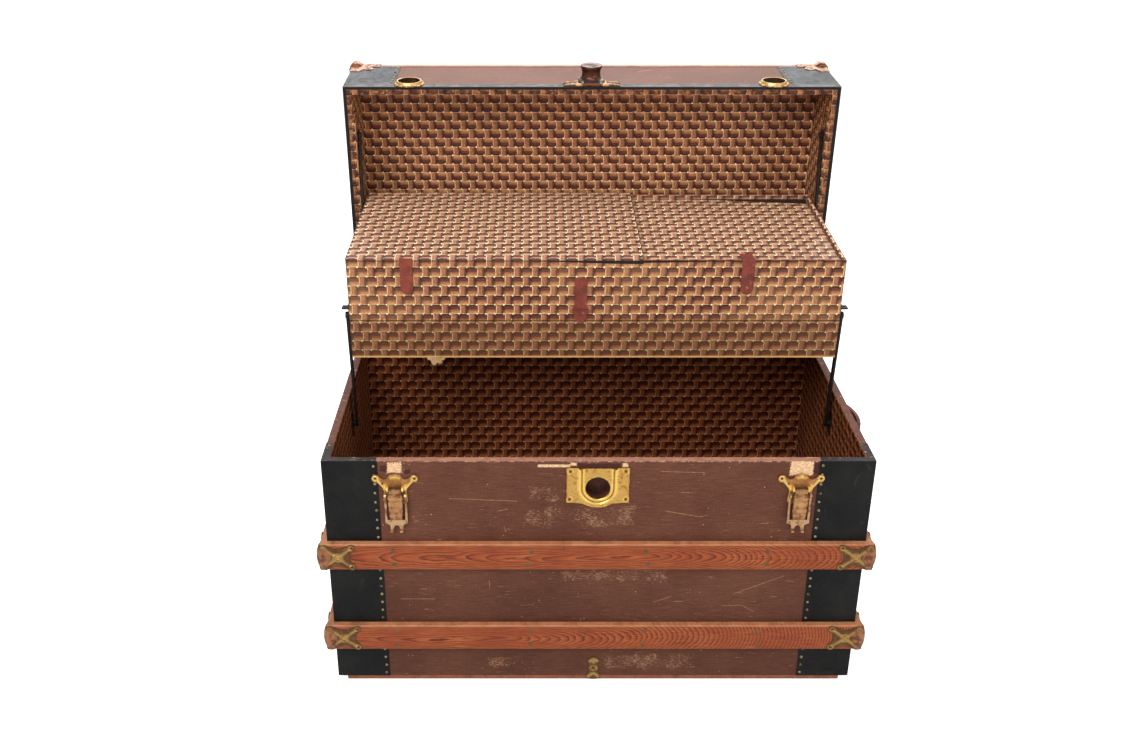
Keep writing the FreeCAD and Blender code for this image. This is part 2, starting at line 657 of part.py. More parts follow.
def hasp():
    """The hasp hangs on its pin at the lid's rim. It is folded back, plug outwards."""
    out = "(binding_t + plate_t)"
    leaf = body("hasp_leaf")
    face = sketch(leaf, "XZ_Plane", "binding_t")
    half, tall = "hasp_plate_w / 2", "hasp_plate_h"
    outline(face, [("-" + half, 1), (half, 1), (half + " - 6", tall + " / 3"),
                   (half, tall + " * 0.62"), (half + " - 16", tall + " - 4"),
                   (half + " - 26", tall), ("-%s + 26" % half, tall),
                   ("-%s + 16" % half, tall + " - 4"), ("-" + half, tall + " * 0.62"),
                   ("-%s + 6" % half, tall + " / 3")])
    pad(leaf, face, "plate_t")
    lugs = []
    for side, sign in SIDES.items():
        x = "%d * (hasp_neck / 2 + 7) - 5" % sign
        lugs.append(peg("hasp_lug_" + side, x, "-hasp_out", "-hasp_drop - rim_gap", 3, 10, "x"))
        lugs.append(block("hasp_web_" + side, x, "-hasp_out", "-hasp_drop - rim_gap",
                          10, "hasp_out - binding_t", "hasp_drop + rim_gap + 4"))
    pin = rod("hasp_rod", "-hasp_neck / 2 - 9", "-hasp_out", "-hasp_drop - rim_gap",
              "hasp_pin / 2", "hasp_neck + 18", "x")
    node("hasp_hinge_plate", joined("hasp_hinge_plate", [leaf] + lugs + [pin], LID))

    # the swinging piece, modelled folded back: plate up from the pin, plug outwards
    reach = "(lock_drop - hasp_drop)"
    tongue = body("hasp_tongue", spot(0, "hasp_t / 2", 0))
    face = sketch(tongue, "XZ_Plane")
    outline(face, [("-hasp_neck / 2", 0), ("hasp_neck / 2", 0), ("hasp_r", reach),
                   ("-hasp_r", reach)])
    pad(tongue, face, "hasp_t")
    end = sketch(tongue, "XZ_Plane")
    disc(end, 0, reach, "hasp_r")
    pad(tongue, end, "hasp_t")
    roll = peg("hasp_roll", "-hasp_neck / 2", 0, 0, 3, "hasp_neck", "x")
    eye = rod("hasp_eye", "-hasp_r", 0, 0, "hasp_pin / 2 + pin_play", "2 * hasp_r", "x")
    # the plug is turned: a straight neck, a flared end and a shallow dish
    plug = body("hasp_plug", spot(0, "-hasp_t / 2", reach))
    side = sketch(plug, "XY_Plane")
    outline(side, [(0, 0), ("knob_neck / 2", 0), ("knob_neck / 2", "-knob_len * 0.62"),
                   ("knob_flare / 2", "-knob_len * 0.86"), ("knob_flare / 2", "-knob_len"),
                   (0, "-knob_len")])
    turned = plug.newObject("PartDesign::Revolution", "hasp_turning")
    turned.Profile = side
    turned.ReferenceAxis = (side, ["V_Axis"])
    turned.Angle = 360
    full = joined("hasp_full", [tongue, roll, plug])
    at = spot(0, "-hasp_out", "-hasp_drop - rim_gap")
    node("hasp", less("hasp", full, [eye], LID, at))


# ---------------------------------------------------------------- draw latches

def latch_plate(name):
    """Eared plate, its middle at x = 0 and the rim at z = 0, with two lugs for the lever pin."""
    plate = body(name + "_leaf", spot(0, "-binding_t", 0))
    face = sketch(plate, "XZ_Plane")
    half = [(8, -80), (14, -80), (20, -76), (20, -70), (18.5, -53), (29, -40), (35, -38.5),
            (38, -34), (37, -28.5), (33, -25.5), (28, -26), (24, -31), (19, -34), (14, -33),
            (9, -25)]
    right = [("latch_w * %.4f" % (x / 76), "latch_w * %.4f" % (z / 76)) for x, z in half]
    left = [("-" + x, z) for x, z in reversed(right)]
    outline(face, right + left)
    pad(plate, face, "latch_t")
    lugs = []
    for side, sign in SIDES.items():
        x = "%d * (lever_w / 2 + 2) - 1.5" % sign
        lugs.append(peg("%s_lug_%s" % (name, side), x, "-latch_pin_y", "-latch_pin_z", 4, 3, "x"))
        lugs.append(block("%s_web_%s" % (name, side), x, "-latch_pin_y", "-latch_pin_z - 4",
                          3, "latch_pin_y - latch_t", 8))
    pin = rod(name + "_pin", "-lever_w / 2 - 3", "-latch_pin_y", "-latch_pin_z",
              "latch_pin / 2", "lever_w + 6", "x")
    return joined(name, [plate] + lugs + [pin])


def latch_lever(name, *steps):
    """The lever hangs from its pin, which is at the origin, and bows outwards."""
    swept = body(name + "_blade", spot("-lever_w / 2", 0, 0))
    side = sketch(swept, "YZ_Plane")
    low = "-lever_len"
    outline(side, [("-latch_pin / 2 - 1", 3), ("latch_pin / 2 + 1", 3),
                   ("latch_pin / 2 + 1", "-latch_throw - 3"), ("-1", low + " * 0.55"),
                   ("-0.5", low), ("-0.5 - lever_t", low + " - 1"),
                   ("-1 - 1.6 * lever_t", low + " * 0.6"),
                   ("-latch_pin / 2 - 2.4", "-latch_throw")])
    pad(swept, side, "lever_w")
    stub_x = "(hook_w / 2 + 0.4)"
    stubs = rod(name + "_stubs", "-" + stub_x, 0, "-latch_throw", "latch_pin / 2",
                "2 * " + stub_x, "x")
    eye = rod(name + "_eye", "-lever_w / 2", 0, 0, "latch_pin / 2 + pin_play", "lever_w", "x")
    return less(name, joined(name + "_full", [swept, stubs]), [eye], *steps)


def latch_hook(name, *steps):
    """A frame on the lever's stub pins, which are at the origin, ending in a turned fork."""
    bar_z = "(-hook_len + fork_len)"
    pieces = []
    for side, sign in SIDES.items():
        x = {"left": "-hook_w / 2", "right": "hook_w / 2 - hook_leg"}[side]
        pieces.append(block("%s_leg_%s" % (name, side), x, "hook_off", bar_z,
                            "hook_leg", "hook_t", "-" + bar_z))
        pieces.append(peg("%s_eye_%s" % (name, side), x, 0, 0, "latch_pin / 2 + 2",
                          "hook_leg", "x"))
        prong = {"left": "-fork_w / 2", "right": "fork_w / 2 - 5"}[side]
        pieces.append(block("%s_prong_%s" % (name, side), prong, "hook_off", "-hook_len",
                            5, "hook_t", "fork_len"))
        pieces.append(block("%s_tip_%s" % (name, side), prong, "hook_off - fork_bend",
                            "-hook_len", 5, "fork_bend", "tip_t"))
    pieces.append(block(name + "_bar", "-hook_w / 2", "hook_off", bar_z, "hook_w", "hook_t", 6))
    bore = rod(name + "_bore", "-hook_w / 2", 0, 0, "latch_pin / 2 + pin_play", "hook_w", "x")
    return less(name, joined(name + "_full", pieces), [bore], *steps)


def catch_ring(name):
    """A flanged collar on the lid for the fork, with beads round the lower half."""
    ring = body(name + "_flange")
    face = sketch(ring, "XZ_Plane", "binding_t")
    disc(face, 0, 0, "ring_r")
    pad(ring, face, "ridge_t")
    collar = sketch(ring, "XZ_Plane", "binding_t")
    disc(collar, 0, 0, "ring_hole / 2 + ring_wall")
    pad(ring, collar, "ring_rise")
    hole = sketch(ring, "XZ_Plane", "binding_t")
    disc(hole, 0, 0, "ring_hole / 2")
    pocket(ring, hole, "ring_rise + 2", True)
    return ring


def latches():
    plates, rings = [], []
    for side, sign in SIDES.items():
        x = "%d * %s" % (sign, LATCH_X)
        plates.append(group("latch_" + side, [latch_plate("latch_plate_" + side)], spot(x, 0, 0)))
        ring = catch_ring("catch_" + side)
        rings.append(group("ring_" + side, [ring], spot(x, 0, "ring_z - rim_gap")))
        pin = spot(x, "-latch_pin_y", "-latch_pin_z")
        lever = latch_lever("latch_lever_" + side, BASE, pin)
        node("latch_lever_" + side, lever)
        hook = latch_hook("latch_hook_" + side, BASE, pin, spot(0, 0, "-latch_throw"))
        node("latch_hook_" + side, hook)
    node("latch_plates", group("latch_plates", plates, BASE))
    node("catch_rings", group("catch_rings", rings, LID))


# ---------------------------------------------------------------- tray

def tray():
    inner_w = TRAY_W + " - 2 * tray_t"
    inner_d = "tray_d - 2 * tray_t"
    front = body("tray_front_board", TRAY, spot("-" + HALF_TRAY, 0, 0))
    profile = sketch(front, "YZ_Plane")
    outline(profile, [(0, 0), ("tray_t", 0), ("tray_t", "tray_h"), (0, "tray_h"),
                      (0, "seam_z + seam_t / 2"), ("seam_t", "seam_z"), (0, "seam_z - seam_t / 2")])
    pad(front, profile, TRAY_W)
    node("tray_front_board", front)
    node("tray_back_board", block("tray_back", "-" + HALF_TRAY, "tray_d - tray_t", 0,
                                  TRAY_W, "tray_t", "tray_h", TRAY))
    ends = {"left": "-" + HALF_TRAY, "right": HALF_TRAY + " - tray_t"}
    for side, x in ends.items():
        node("tray_%s_end" % side, block("tray_end_" + side, x, "tray_t", 0,
                                         "tray_t", inner_d, "tray_h", TRAY))
    node("tray_bottom", block("tray_floor", "-%s + tray_t" % HALF_TRAY, "tray_t", 0,
                              inner_w, inner_d, "tray_t", TRAY))
    node("tray_divider", block("tray_wall", "divider_x - tray_t", "tray_t", "tray_t",
                               "tray_t", inner_d, "tray_h - tray_t", TRAY))
    shelf = "(tray_h - flap_sink - flap_t)"
    right_w = "(%s - tray_t - divider_x)" % HALF_TRAY
    cleats = [
        block("cleat_front", "divider_x", "tray_t", shelf + " - cleat", right_w, "cleat", "cleat"),
        block("cleat_back", "divider_x", "tray_d - tray_t - flap_slack - cleat",
              shelf + " - cleat", right_w, "cleat + flap_slack", "cleat")]
    node("tray_cleats", group("tray_cleats", cleats, TRAY))


def tray_lids():
    left_w = HALF_TRAY + " + divider_x"
    node("tray_lid_left", block("flap_left", "-" + HALF_TRAY, 0, "tray_h",
                                left_w, "tray_d", "flap_t", TRAY))
    shelf = "(tray_h - flap_sink - flap_t)"
    flap_d = "(tray_d - 2 * tray_t - flap_gap - flap_slack)"
    right = block("flap_right", "divider_x + flap_gap", "tray_t + flap_gap", shelf,
                  HALF_TRAY + " - tray_t - divider_x - 2 * flap_gap", flap_d, "flap_t", TRAY)
    node("tray_lid_right", right)


def pointed(host, plane, lift, width, top, foot):
    """A leather tab hanging down with a pointed end."""
    face = sketch(host, plane, lift)
    half = "(%s) / 2" % width
    outline(face, [("-" + half, foot + " + strap_w * 0.45"), ("-%s * 0.6" % half, foot + " + 2"),
                   (0, foot), (half + " * 0.6", foot + " + 2"), (half, foot + " + strap_w * 0.45"),
                   (half, top), ("-" + half, top)])
    pad(host, face, "strap_t")


def straps():
    # left tab: fixed to the front edge of the left tray lid
    hung = body("left_tab_face")
    pointed(hung, "XZ_Plane", "strap_off", "strap_w", "tray_h + flap_t", "tray_h - strap_len")
    lip = block("left_tab_lip", "-strap_w / 2", "-strap_off", "tray_h + 0.3",
                "strap_w", "strap_off", "flap_t - 0.3")
    node("strap_left", joined("strap_left", [hung, lip], TRAY, spot("left_tab_x", 0, 0)))
    # right tab: lies on the sunk lid, climbs over the tray's front edge and hangs down
    fall = body("right_tab_face")
    over = "tray_h + strap_off + strap_t"
    pointed(fall, "XZ_Plane", "strap_off", "strap_w", over, "tray_h - strap_len")
    rise = body("right_tab_bend", spot("-strap_w / 2", 0, 0))
    side = sketch(rise, "YZ_Plane")
    flap = "(tray_h - flap_sink)"
    outline(side, [("-strap_off", "tray_h + strap_off"), ("tray_t + 0.6", "tray_h + strap_off"),
                   ("tray_t + flap_gap + 0.4", flap), ("tray_t + flap_gap + 26", flap),
                   ("tray_t + flap_gap + 26", flap + " + strap_t"),
                   ("tray_t + flap_gap + 3", flap + " + strap_t"), ("tray_t + 1", over),
                   ("-strap_off", over)])
    pad(rise, side, "strap_w")
    node("strap_right", joined("strap_right", [fall, rise], TRAY, spot("right_tab_x", 0, 0)))
    # strap on the tray front with its keeper
    flat = body("middle_face")
    top = "middle_strap_z + middle_strap_len"
    pointed(flat, "XZ_Plane", 0, "strap_w", top, "middle_strap_z")
    keeper = block("middle_keeper", "-strap_w / 2 - 3", "-strap_t - 2", "middle_strap_z + 16",
                   "strap_w + 6", 2, 9)
    feet = [block("middle_foot_" + side, "%d * (strap_w / 2 + 1.5) - 1.5" % sign,
                  "-strap_t - 1", "middle_strap_z + 16", 3, "strap_t + 1", 9)
            for side, sign in SIDES.items()]
    node("tray_front_strap", joined("tray_front_strap", [flat, keeper] + feet,
                                    TRAY, spot("middle_strap_x", 0, 0)))


# ---------------------------------------------------------------- tray lift

def lift_strip(name, sign, length, width, thick, near_play, far_play, *steps):
    """A flat steel strip with an eye at each end, its first eye at the origin."""
    strip = body(name, *steps, spot("%d * %s - %s" % (sign, ARM_X, 0 if sign > 0 else thick)))
    face = sketch(strip, "YZ_Plane")
    capsule(face, length, width)
    pad(strip, face, thick)
    for at, play in ((0, near_play), (length, far_play)):
        eye = sketch(strip, "YZ_Plane")
        disc(eye, 0, at, "pin_d / 2 + " + play)
        pocket(strip, eye, thick, True)
    return strip


def pivot(name, sign, wall_x, outwards, strip_t, pieces, tall, low):
    """A plate on a wall with a pin through a strip and a head beyond it, pin at the origin.

    Seen along x times sign: the plate is at wall_x, and the strip lies from ARM_X to
    ARM_X + strip_t. With outwards the wall is inside of the strip, as on the tray.
    """
    def span(tag, start, end, make):
        first = start if sign > 0 else "-(%s)" % end
        return make(name + tag, first, "(%s) - (%s)" % (end, start))

    def bar(kind, radius):
        return lambda tag, x, length: kind(tag, x, 0, 0, radius, length, "x")

    def plate(tag, x, length):
        return block(tag, x, "-lug_w / 2", low, length, "lug_w", tall)

    near, far = ARM_X, "(%s + %s)" % (ARM_X, strip_t)
    if outwards:
        wall, lug, boss = wall_x, "(%s + lug_t)" % wall_x, "(%s - 0.2)" % near
        head, tip = "(%s + 0.2)" % far, "(%s + 0.2 + head_t)" % far
        spans = [("_plate", wall, lug, plate), ("_boss", lug, boss, bar(peg, "rivet_head / 2")),
                 ("_pin", lug, head, bar(rod, "pin_d / 2")), ("_head", head, tip, bar(peg, "rivet_head / 2"))]
    else:
        wall, lug, boss = wall_x, "(%s - lug_t)" % wall_x, "(%s + 0.2)" % far
        head, tip = "(%s - 0.1)" % near, "(%s - 0.1 - head_t)" % near
        spans = [("_plate", lug, wall, plate), ("_boss", boss, lug, bar(peg, "rivet_head / 2")),
                 ("_pin", head, lug, bar(rod, "pin_d / 2")), ("_head", tip, head, bar(peg, "rivet_head / 2"))]
    return joined(name, [span(*each) for each in spans] + pieces)


def lift():
    arm_pivots, link_pivots, tray_pivots = [], [], []
    for side, sign in SIDES.items():
        arm = lift_strip("tray_arm_" + side, sign, "arm_len", "arm_w", "arm_t",
                         "pin_play", "pin_play", ARM)
        node("tray_arm_" + side, arm)
        # the link hangs down: its strip is turned over, and its lower eye is slack
        link = lift_strip("lid_link_" + side, sign, LINK_LEN, "link_w", "link_t",
                          "pin_play", "slack_play", LINK, spot(0, 0, 0, 180))
        node("lid_link_" + side, link)
        arm_pivot = pivot("arm_pivot_" + side, sign, INSIDE_X, False, "arm_t", [],
                          "lug_h * 1.1", "-lug_h * 0.66")
        arm_pivots.append(group("arm_seat_" + side, [arm_pivot], spot(0, "arm_y", "-arm_z")))
        link_pivot = pivot("link_pivot_" + side, sign, "(%s - frame_t)" % INSIDE_X, False,
                           "link_t", [], "lug_h * 0.6", "-lug_h / 4")
        link_pivots.append(group("link_seat_" + side, [link_pivot], spot(0, "link_y", "link_z")))
        # the tray plate has a flange turned out over the arm's eye
        tab_x = HALF_TRAY if sign > 0 else "-%s - tab_reach" % HALF_TRAY
        tab = block("tray_tab_" + side, tab_x, "-lug_w / 2", "arm_w / 2 + tab_lift", "tab_reach",
                    "tab_w", "tab_t")
        front = pivot("front_pivot_" + side, sign, HALF_TRAY, True, "arm_t", [tab],
                      "lug_h", "-lug_h / 3")
        front_at = spot(0, "tray_pivot_y", "tray_pivot_z")
        rear = pivot("rear_pivot_" + side, sign, HALF_TRAY, True, "link_t", [],
                     "lug_h * 0.84", "-lug_h * 0.42")
        rear_at = spot(0, "tail_pivot_y", "tail_pivot_z")
        tray_pivots.append(group("front_seat_" + side, [front], front_at))
        tray_pivots.append(group("rear_seat_" + side, [rear], rear_at))
    node("arm_pivots", group("arm_pivots", arm_pivots, BASE))
    node("link_pivots", group("link_pivots", link_pivots, LID))
    node("tray_pivots", group("tray_pivots", tray_pivots, TRAY))


# ---------------------------------------------------------------- handle and hinges

def handle():
    """A stiff leather handle on the right end, bowed out between two steel loops."""
    half = "(handle_span / 2)"
    radius = "((%s * %s + handle_rise * handle_rise) / (2 * handle_rise))" % (half, half)
    centre = "(handle_rise - %s)" % radius
    outer = rod("bow_out", centre, 0, "-handle_w / 2", radius, "handle_w")
    inner = rod("bow_in", centre, 0, "-handle_w", radius + " - handle_t", "2 * handle_w")
    behind = block("bow_back", "-2 * " + radius, "-2 * " + radius, "-handle_w",
                   "2 * " + radius, "4 * " + radius, "2 * handle_w")
    bow = less("handle_bow", outer, [inner, behind])
    tails = [block("tail_" + side, 0, "%d * (%s + tail_len / 2 - 6) - tail_len / 2" % (sign, half),
                   "-handle_w / 2", "handle_t", "tail_len", "handle_w")
             for side, sign in SIDES.items()]
    at = spot("body_w / 2", "body_d / 2", "-handle_z")
    node("handle_right", joined("handle_right", [bow] + tails, BASE, at))
    loops = []
    for side, sign in SIDES.items():
        for end in (-1, 1):
            tag = "%s_%s" % (side, "front" if end < 0 else "back")
            y = "%d * (%s + tail_len - 6 - loop_w / 2 - 2) - loop_w / 2" % (end, half)
            bridge = block("loop_" + tag, 0, y, "-handle_w / 2 - 5", "handle_t + loop_t",
                           "loop_w", "handle_w + 10")
            room = block("room_" + tag, "-0.001", y, "-handle_w / 2", "handle_t + 0.001",
                         "loop_w", "handle_w")
            loop = less("staple_" + tag, bridge, [room])
            turned = mirror("turned_" + tag, loop, (1, 0, 0)) if sign < 0 else loop
            loops.append(group("loop_at_" + tag, [turned],
                               spot("%d * body_w / 2" % sign, "body_d / 2", "-handle_z")))
    node("handle_loops", group("handle_loops", loops, BASE))


def hinges():
    """Three butt hinges on the back, each with its pin fixed in the middle knuckle."""
    base_set, lid_set = [], []
    third = "(hinge_w / 3)"
    clear = "(barrel_r + 1)"
    for n, x in enumerate(("-" + HINGE_X, "0", HINGE_X)):
        # base leaf, pin at the origin
        leaf = block("base_leaf_%d" % n, "-hinge_w / 2", "-pin_back", "-leaf_h",
                     "hinge_w", "leaf_t", "leaf_h - " + clear)
        neck = block("base_neck_%d" % n, "-%s / 2" % third, "-pin_back", "-leaf_h",
                     third, "leaf_t", "leaf_h")
        knuckle = peg("base_knuckle_%d" % n, "-%s / 2" % third, 0, 0, "barrel_r", third, "x")
        pin = rod("base_pin_%d" % n, "-hinge_w / 2", 0, 0, "barrel_pin / 2", "hinge_w", "x")
        whole = joined("base_hinge_%d" % n, [leaf, neck, knuckle, pin])
        base_set.append(group("base_hinge_at_%d" % n, [whole],
                              spot(x, "body_d + pin_back", "-pin_drop")))
        # lid leaf, which lies on the lid's edge band
        back = "-pin_back + binding_t"
        leaf = block("lid_leaf_%d" % n, "-hinge_w / 2", back, clear, "hinge_w", "leaf_t",
                     "leaf_h - " + clear)
        parts = [leaf]
        for side, sign in SIDES.items():
            start = "%d * %s - %s / 2" % (sign, third, third)
            gap = 0.3
            first = start + (" + %g" % gap if sign > 0 else "")
            wide = "%s - %g" % (third, gap)
            parts.append(block("lid_neck_%d%s" % (n, side), first, back, 0, wide, "leaf_t", "leaf_h"))
            parts.append(peg("lid_knuckle_%d%s" % (n, side), first, 0, 0, "barrel_r", wide, "x"))
        bore = rod("lid_bore_%d" % n, "-hinge_w", 0, 0, "barrel_pin / 2 + pin_play",
                   "2 * hinge_w", "x")
        whole = less("lid_hinge_%d" % n, joined("lid_hinge_full_%d" % n, parts), [bore])
        lid_set.append(group("lid_hinge_at_%d" % n, [whole], spot(x, 0, 0)))
    node("base_hinge_leaves", group("base_hinge_leaves", base_set, BASE))
    node("lid_hinge_leaves", group("lid_hinge_leaves", lid_set, LID_PIN))


# ---------------------------------------------------------------- build, check, write

base_box()
lid_box()
bindings()
slats()
bumpers()
corner_caps()
bottom()
lock()
hasp()
latches()
tray()
tray_lids()
straps()
lift()
handle()
hinges()
doc.recompute()

for piece in doc.Objects:
    if "Invalid" in piece.State or "Error" in piece.State:
        raise RuntimeError("%s (%s) failed: %s" % (piece.Name, piece.Label, piece.State))
os.makedirs("parts", exist_ok=True)
for label, piece in sorted(nodes.items()):
    shape = piece.Shape
    if shape.isNull() or not shape.isValid() or not shape.Solids:
        raise RuntimeError(label + " has no sound solid")
    shape.exportStep("parts/%s.step" % label)
    box = shape.BoundBox
    print("%-22s solids %2d  volume %10.0f  x %7.1f %7.1f  y %7.1f %7.1f  z %7.1f %7.1f" % (
        label, len(shape.Solids), shape.Volume, box.XMin, box.XMax, box.YMin, box.YMax,
        box.ZMin, box.ZMax))
print(len(nodes), "nodes")
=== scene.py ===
import math
import random
import bmesh
import bpy
from mathutils import Matrix, Vector


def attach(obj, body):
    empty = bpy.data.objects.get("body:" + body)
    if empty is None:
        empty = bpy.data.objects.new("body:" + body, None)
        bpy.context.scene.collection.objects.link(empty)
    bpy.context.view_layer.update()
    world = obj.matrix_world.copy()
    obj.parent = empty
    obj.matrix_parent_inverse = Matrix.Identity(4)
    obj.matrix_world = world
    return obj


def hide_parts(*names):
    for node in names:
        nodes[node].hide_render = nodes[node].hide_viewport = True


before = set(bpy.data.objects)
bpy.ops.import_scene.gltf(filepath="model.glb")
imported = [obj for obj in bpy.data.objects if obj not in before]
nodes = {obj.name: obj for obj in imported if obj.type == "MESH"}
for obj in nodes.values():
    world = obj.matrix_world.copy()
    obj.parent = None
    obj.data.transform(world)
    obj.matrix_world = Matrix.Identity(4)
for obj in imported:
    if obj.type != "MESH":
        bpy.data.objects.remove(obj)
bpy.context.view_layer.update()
print("frame loaded,", len(nodes), "nodes")

mm = 0.001

# The trunk's own sizes in millimetres, and angles in degrees
trunk = {
    "halfWidth": 457.0, "depth": 508.0, "rimUp": 451.0, "lidTall": 163.0,
    "skin": 1.0,                              # canvas and bindings over the boards
    "slatThick": 12.0, "slatTall": 51.0, "slatFoot": -206.0, "slatDrop": 168.0,
    "lidSlatFoot": -1.0, "lidSlatPitch": 153.0,
    "bindingFront": 92.0, "bindingEnd": 62.0,
}
hinge = {"back": 513.0, "down": 6.0, "rimGap": 0.4, "open": 87.2, "across": (-300, 0, 300)}
lift = {"footBack": 3.2, "footUp": 388.0, "armLong": 228.0, "armLean": 6.22, "trayTilt": 2.3,
        "pinBack": 9.7, "pinUp": 78.9}        # the pin is measured from the tray's own corner

middle = trunk["depth"] / 2
sideFace = trunk["halfWidth"] + trunk["skin"]
backFace = trunk["depth"] + trunk["skin"]
slatSide = sideFace + trunk["slatThick"]
slatFront = -trunk["skin"] - trunk["slatThick"]
slatFeet = (trunk["slatFoot"], trunk["slatFoot"] - trunk["slatDrop"])


def moved(x, y, z):
    return Matrix.Translation(Vector((x, y, z)) * mm)


# Places that pieces are measured from, in millimetres: x from the middle, y back from the front
# board, z up from the rim (from the underside for the tray). Each takes them to the frame.
toMetres = Matrix.Scale(mm, 4)
basePlace = moved(0, -middle, trunk["rimUp"]) @ toMetres
lidPlace = (moved(0, hinge["back"] - middle, trunk["rimUp"] - hinge["down"])
            @ Matrix.Rotation(math.radians(-hinge["open"]), 4, "X")
            @ moved(0, -hinge["back"], hinge["down"] + hinge["rimGap"]) @ toMetres)
armLean = math.radians(lift["armLean"])
trayPlace = (moved(0, lift["footBack"] - lift["armLong"] * math.sin(armLean),
                   lift["footUp"] + lift["armLong"] * math.cos(armLean))
             @ Matrix.Rotation(math.radians(lift["trayTilt"]), 4, "X")
             @ moved(0, -lift["pinBack"], -lift["pinUp"]) @ toMetres)


# A socket of a finish, so that sums on it add the nodes for them
class Wire:
    def __init__(self, finish, out):
        self.finish = finish
        self.out = out

    def meet(self, operation, left, right):
        kinds = [side.out.type for side in (left, right) if isinstance(side, Wire)]
        if "RGBA" in kinds:
            return self.finish.node("ShaderNodeMix", {"data_type": "RGBA", "blend_type": operation},
                                    {0: 1.0, 6: asColour(left), 7: asColour(right)}, 2)
        if "VECTOR" in kinds:
            return self.finish.node("ShaderNodeVectorMath", {"operation": operation},
                                    {0: asVector(left), 1: asVector(right)})
        return self.finish.node("ShaderNodeMath", {"operation": operation}, {0: left, 1: right})

    def __add__(self, other):
        return self.meet("ADD", self, other)

    def __radd__(self, other):
        return self.meet("ADD", other, self)

    def __sub__(self, other):
        return self.meet("SUBTRACT", self, other)

    def __rsub__(self, other):
        return self.meet("SUBTRACT", other, self)

    def __mul__(self, other):
        return self.meet("MULTIPLY", self, other)

    def __rmul__(self, other):
        return self.meet("MULTIPLY", other, self)

    def __truediv__(self, other):
        return self.meet("DIVIDE", self, other)

    def __rtruediv__(self, other):
        return self.meet("DIVIDE", other, self)

    def __pow__(self, other):
        return self.does("POWER", other)

    def __gt__(self, other):
        return self.does("GREATER_THAN", other)

    def __lt__(self, other):
        return self.does("LESS_THAN", other)

    def does(self, operation, other=0.0):
        return self.finish.node("ShaderNodeMath", {"operation": operation}, {0: self, 1: other})

    def size(self):
        return self.does("ABSOLUTE")

    def atMost(self, other):
        return self.does("MINIMUM", other)

    def atLeast(self, other):
        return self.does("MAXIMUM", other)

    def split(self):
        parts = self.finish.node("ShaderNodeSeparateXYZ", {}, {0: self})
        return [Wire(self.finish, parts.out.node.outputs[n]) for n in range(3)]

    # Goes from one value to another, softly, as the socket passes from low to high
    def rise(self, low, high, bottom=0.0, top=1.0):
        return self.finish.node("ShaderNodeMapRange", {"interpolation_type": "SMOOTHSTEP"},
                                {0: self, 1: low, 2: high, 3: bottom, 4: top})

    def mix(self, first, second):
        return self.finish.node("ShaderNodeMix", {"data_type": "RGBA"},
                                {0: self, 6: asColour(first), 7: asColour(second)}, 2)

    # Passes through the given colours
    def through(self, *stops):
        return self.finish.node("ShaderNodeValToRGB", {"stops": stops}, {0: self})


def asColour(value):
    if isinstance(value, Wire):
        return value
    if isinstance(value, (int, float)):
        return (value, value, value, 1.0)
    return (*value[:3], 1.0)


def asVector(value):
    return (value, value, value) if isinstance(value, (int, float)) else value


# A screen colour from 0 to 255 as the linear one that a shader takes
def tint(red, green, blue):
    def linear(part):
        part = part / 255
        return part / 12.92 if part <= 0.04045 else ((part + 0.055) / 1.055) ** 2.4
    return tuple(linear(part) for part in (red, green, blue))


# One material. Its coordinates are in the millimetres of the piece that it lies on.
class Finish:
    def __init__(self, name, place, gloss=0.5):
        self.material = bpy.data.materials.new(name)
        self.material.use_nodes = True
        self.tree = self.material.node_tree
        self.tree.nodes.clear()
        self.shader = self.tree.nodes.new("ShaderNodeBsdfPrincipled")
        self.shader.inputs["Specular IOR Level"].default_value = gloss
        surface = self.tree.nodes.new("ShaderNodeOutputMaterial")
        self.tree.links.new(self.shader.outputs[0], surface.inputs[0])
        source = self.tree.nodes.new("ShaderNodeTexCoord")
        back = place.inverted()
        self.at = self.node("ShaderNodeMapping", {}, {
            "Vector": Wire(self, source.outputs["Object"]), "Location": back.to_translation(),
            "Rotation": back.to_euler(), "Scale": back.to_scale()})
        self.facing = self.node("ShaderNodeMapping", {}, {
            "Vector": Wire(self, source.outputs["Normal"]), "Rotation": back.to_euler()})

    # Any node: its kind, its settings, what its sockets get, and which output is wanted
    def node(self, kind, settings, sockets, output=0):
        made = self.tree.nodes.new(kind)
        for name, value in settings.items():
            if name == "stops":
                ramp = made.color_ramp.elements
                while len(ramp) < len(value):
                    ramp.new(0.5)
                for element, (position, colour) in zip(ramp, value):
                    element.position = position
                    element.color = asColour(colour)
            else:
                setattr(made, name, value)
        for name, value in sockets.items():
            if isinstance(value, Wire):
                self.tree.links.new(value.out, made.inputs[name])
            else:
                made.inputs[name].default_value = value
        return Wire(self, made.outputs[output])

    def noise(self, at, scale, detail=4.0, rough=0.6, warp=0.0):
        return self.node("ShaderNodeTexNoise", {}, {
            "Vector": at, "Scale": scale, "Detail": detail, "Roughness": rough, "Distortion": warp})

    def cells(self, at, scale):
        return self.node("ShaderNodeTexVoronoi", {}, {"Vector": at, "Scale": scale})

    def point(self, x, y, z):
        return self.node("ShaderNodeCombineXYZ", {}, {0: x, 1: y, 2: z})

    # What varies over the surface, and the bump under it
    def wears(self, colour, rough, height, depth, metal=0.0):
        ends = {"Base Color": colour, "Roughness": rough, "Metallic": metal}
        for name, value in ends.items():
            if isinstance(value, Wire):
                self.tree.links.new(value.out, self.shader.inputs[name])
            else:
                self.shader.inputs[name].default_value = value
        bump = self.node("ShaderNodeBump", {}, {"Height": height, "Distance": depth * mm,
                                                "Strength": 1.0})
        self.tree.links.new(bump.out, self.shader.inputs["Normal"])
        return self.material


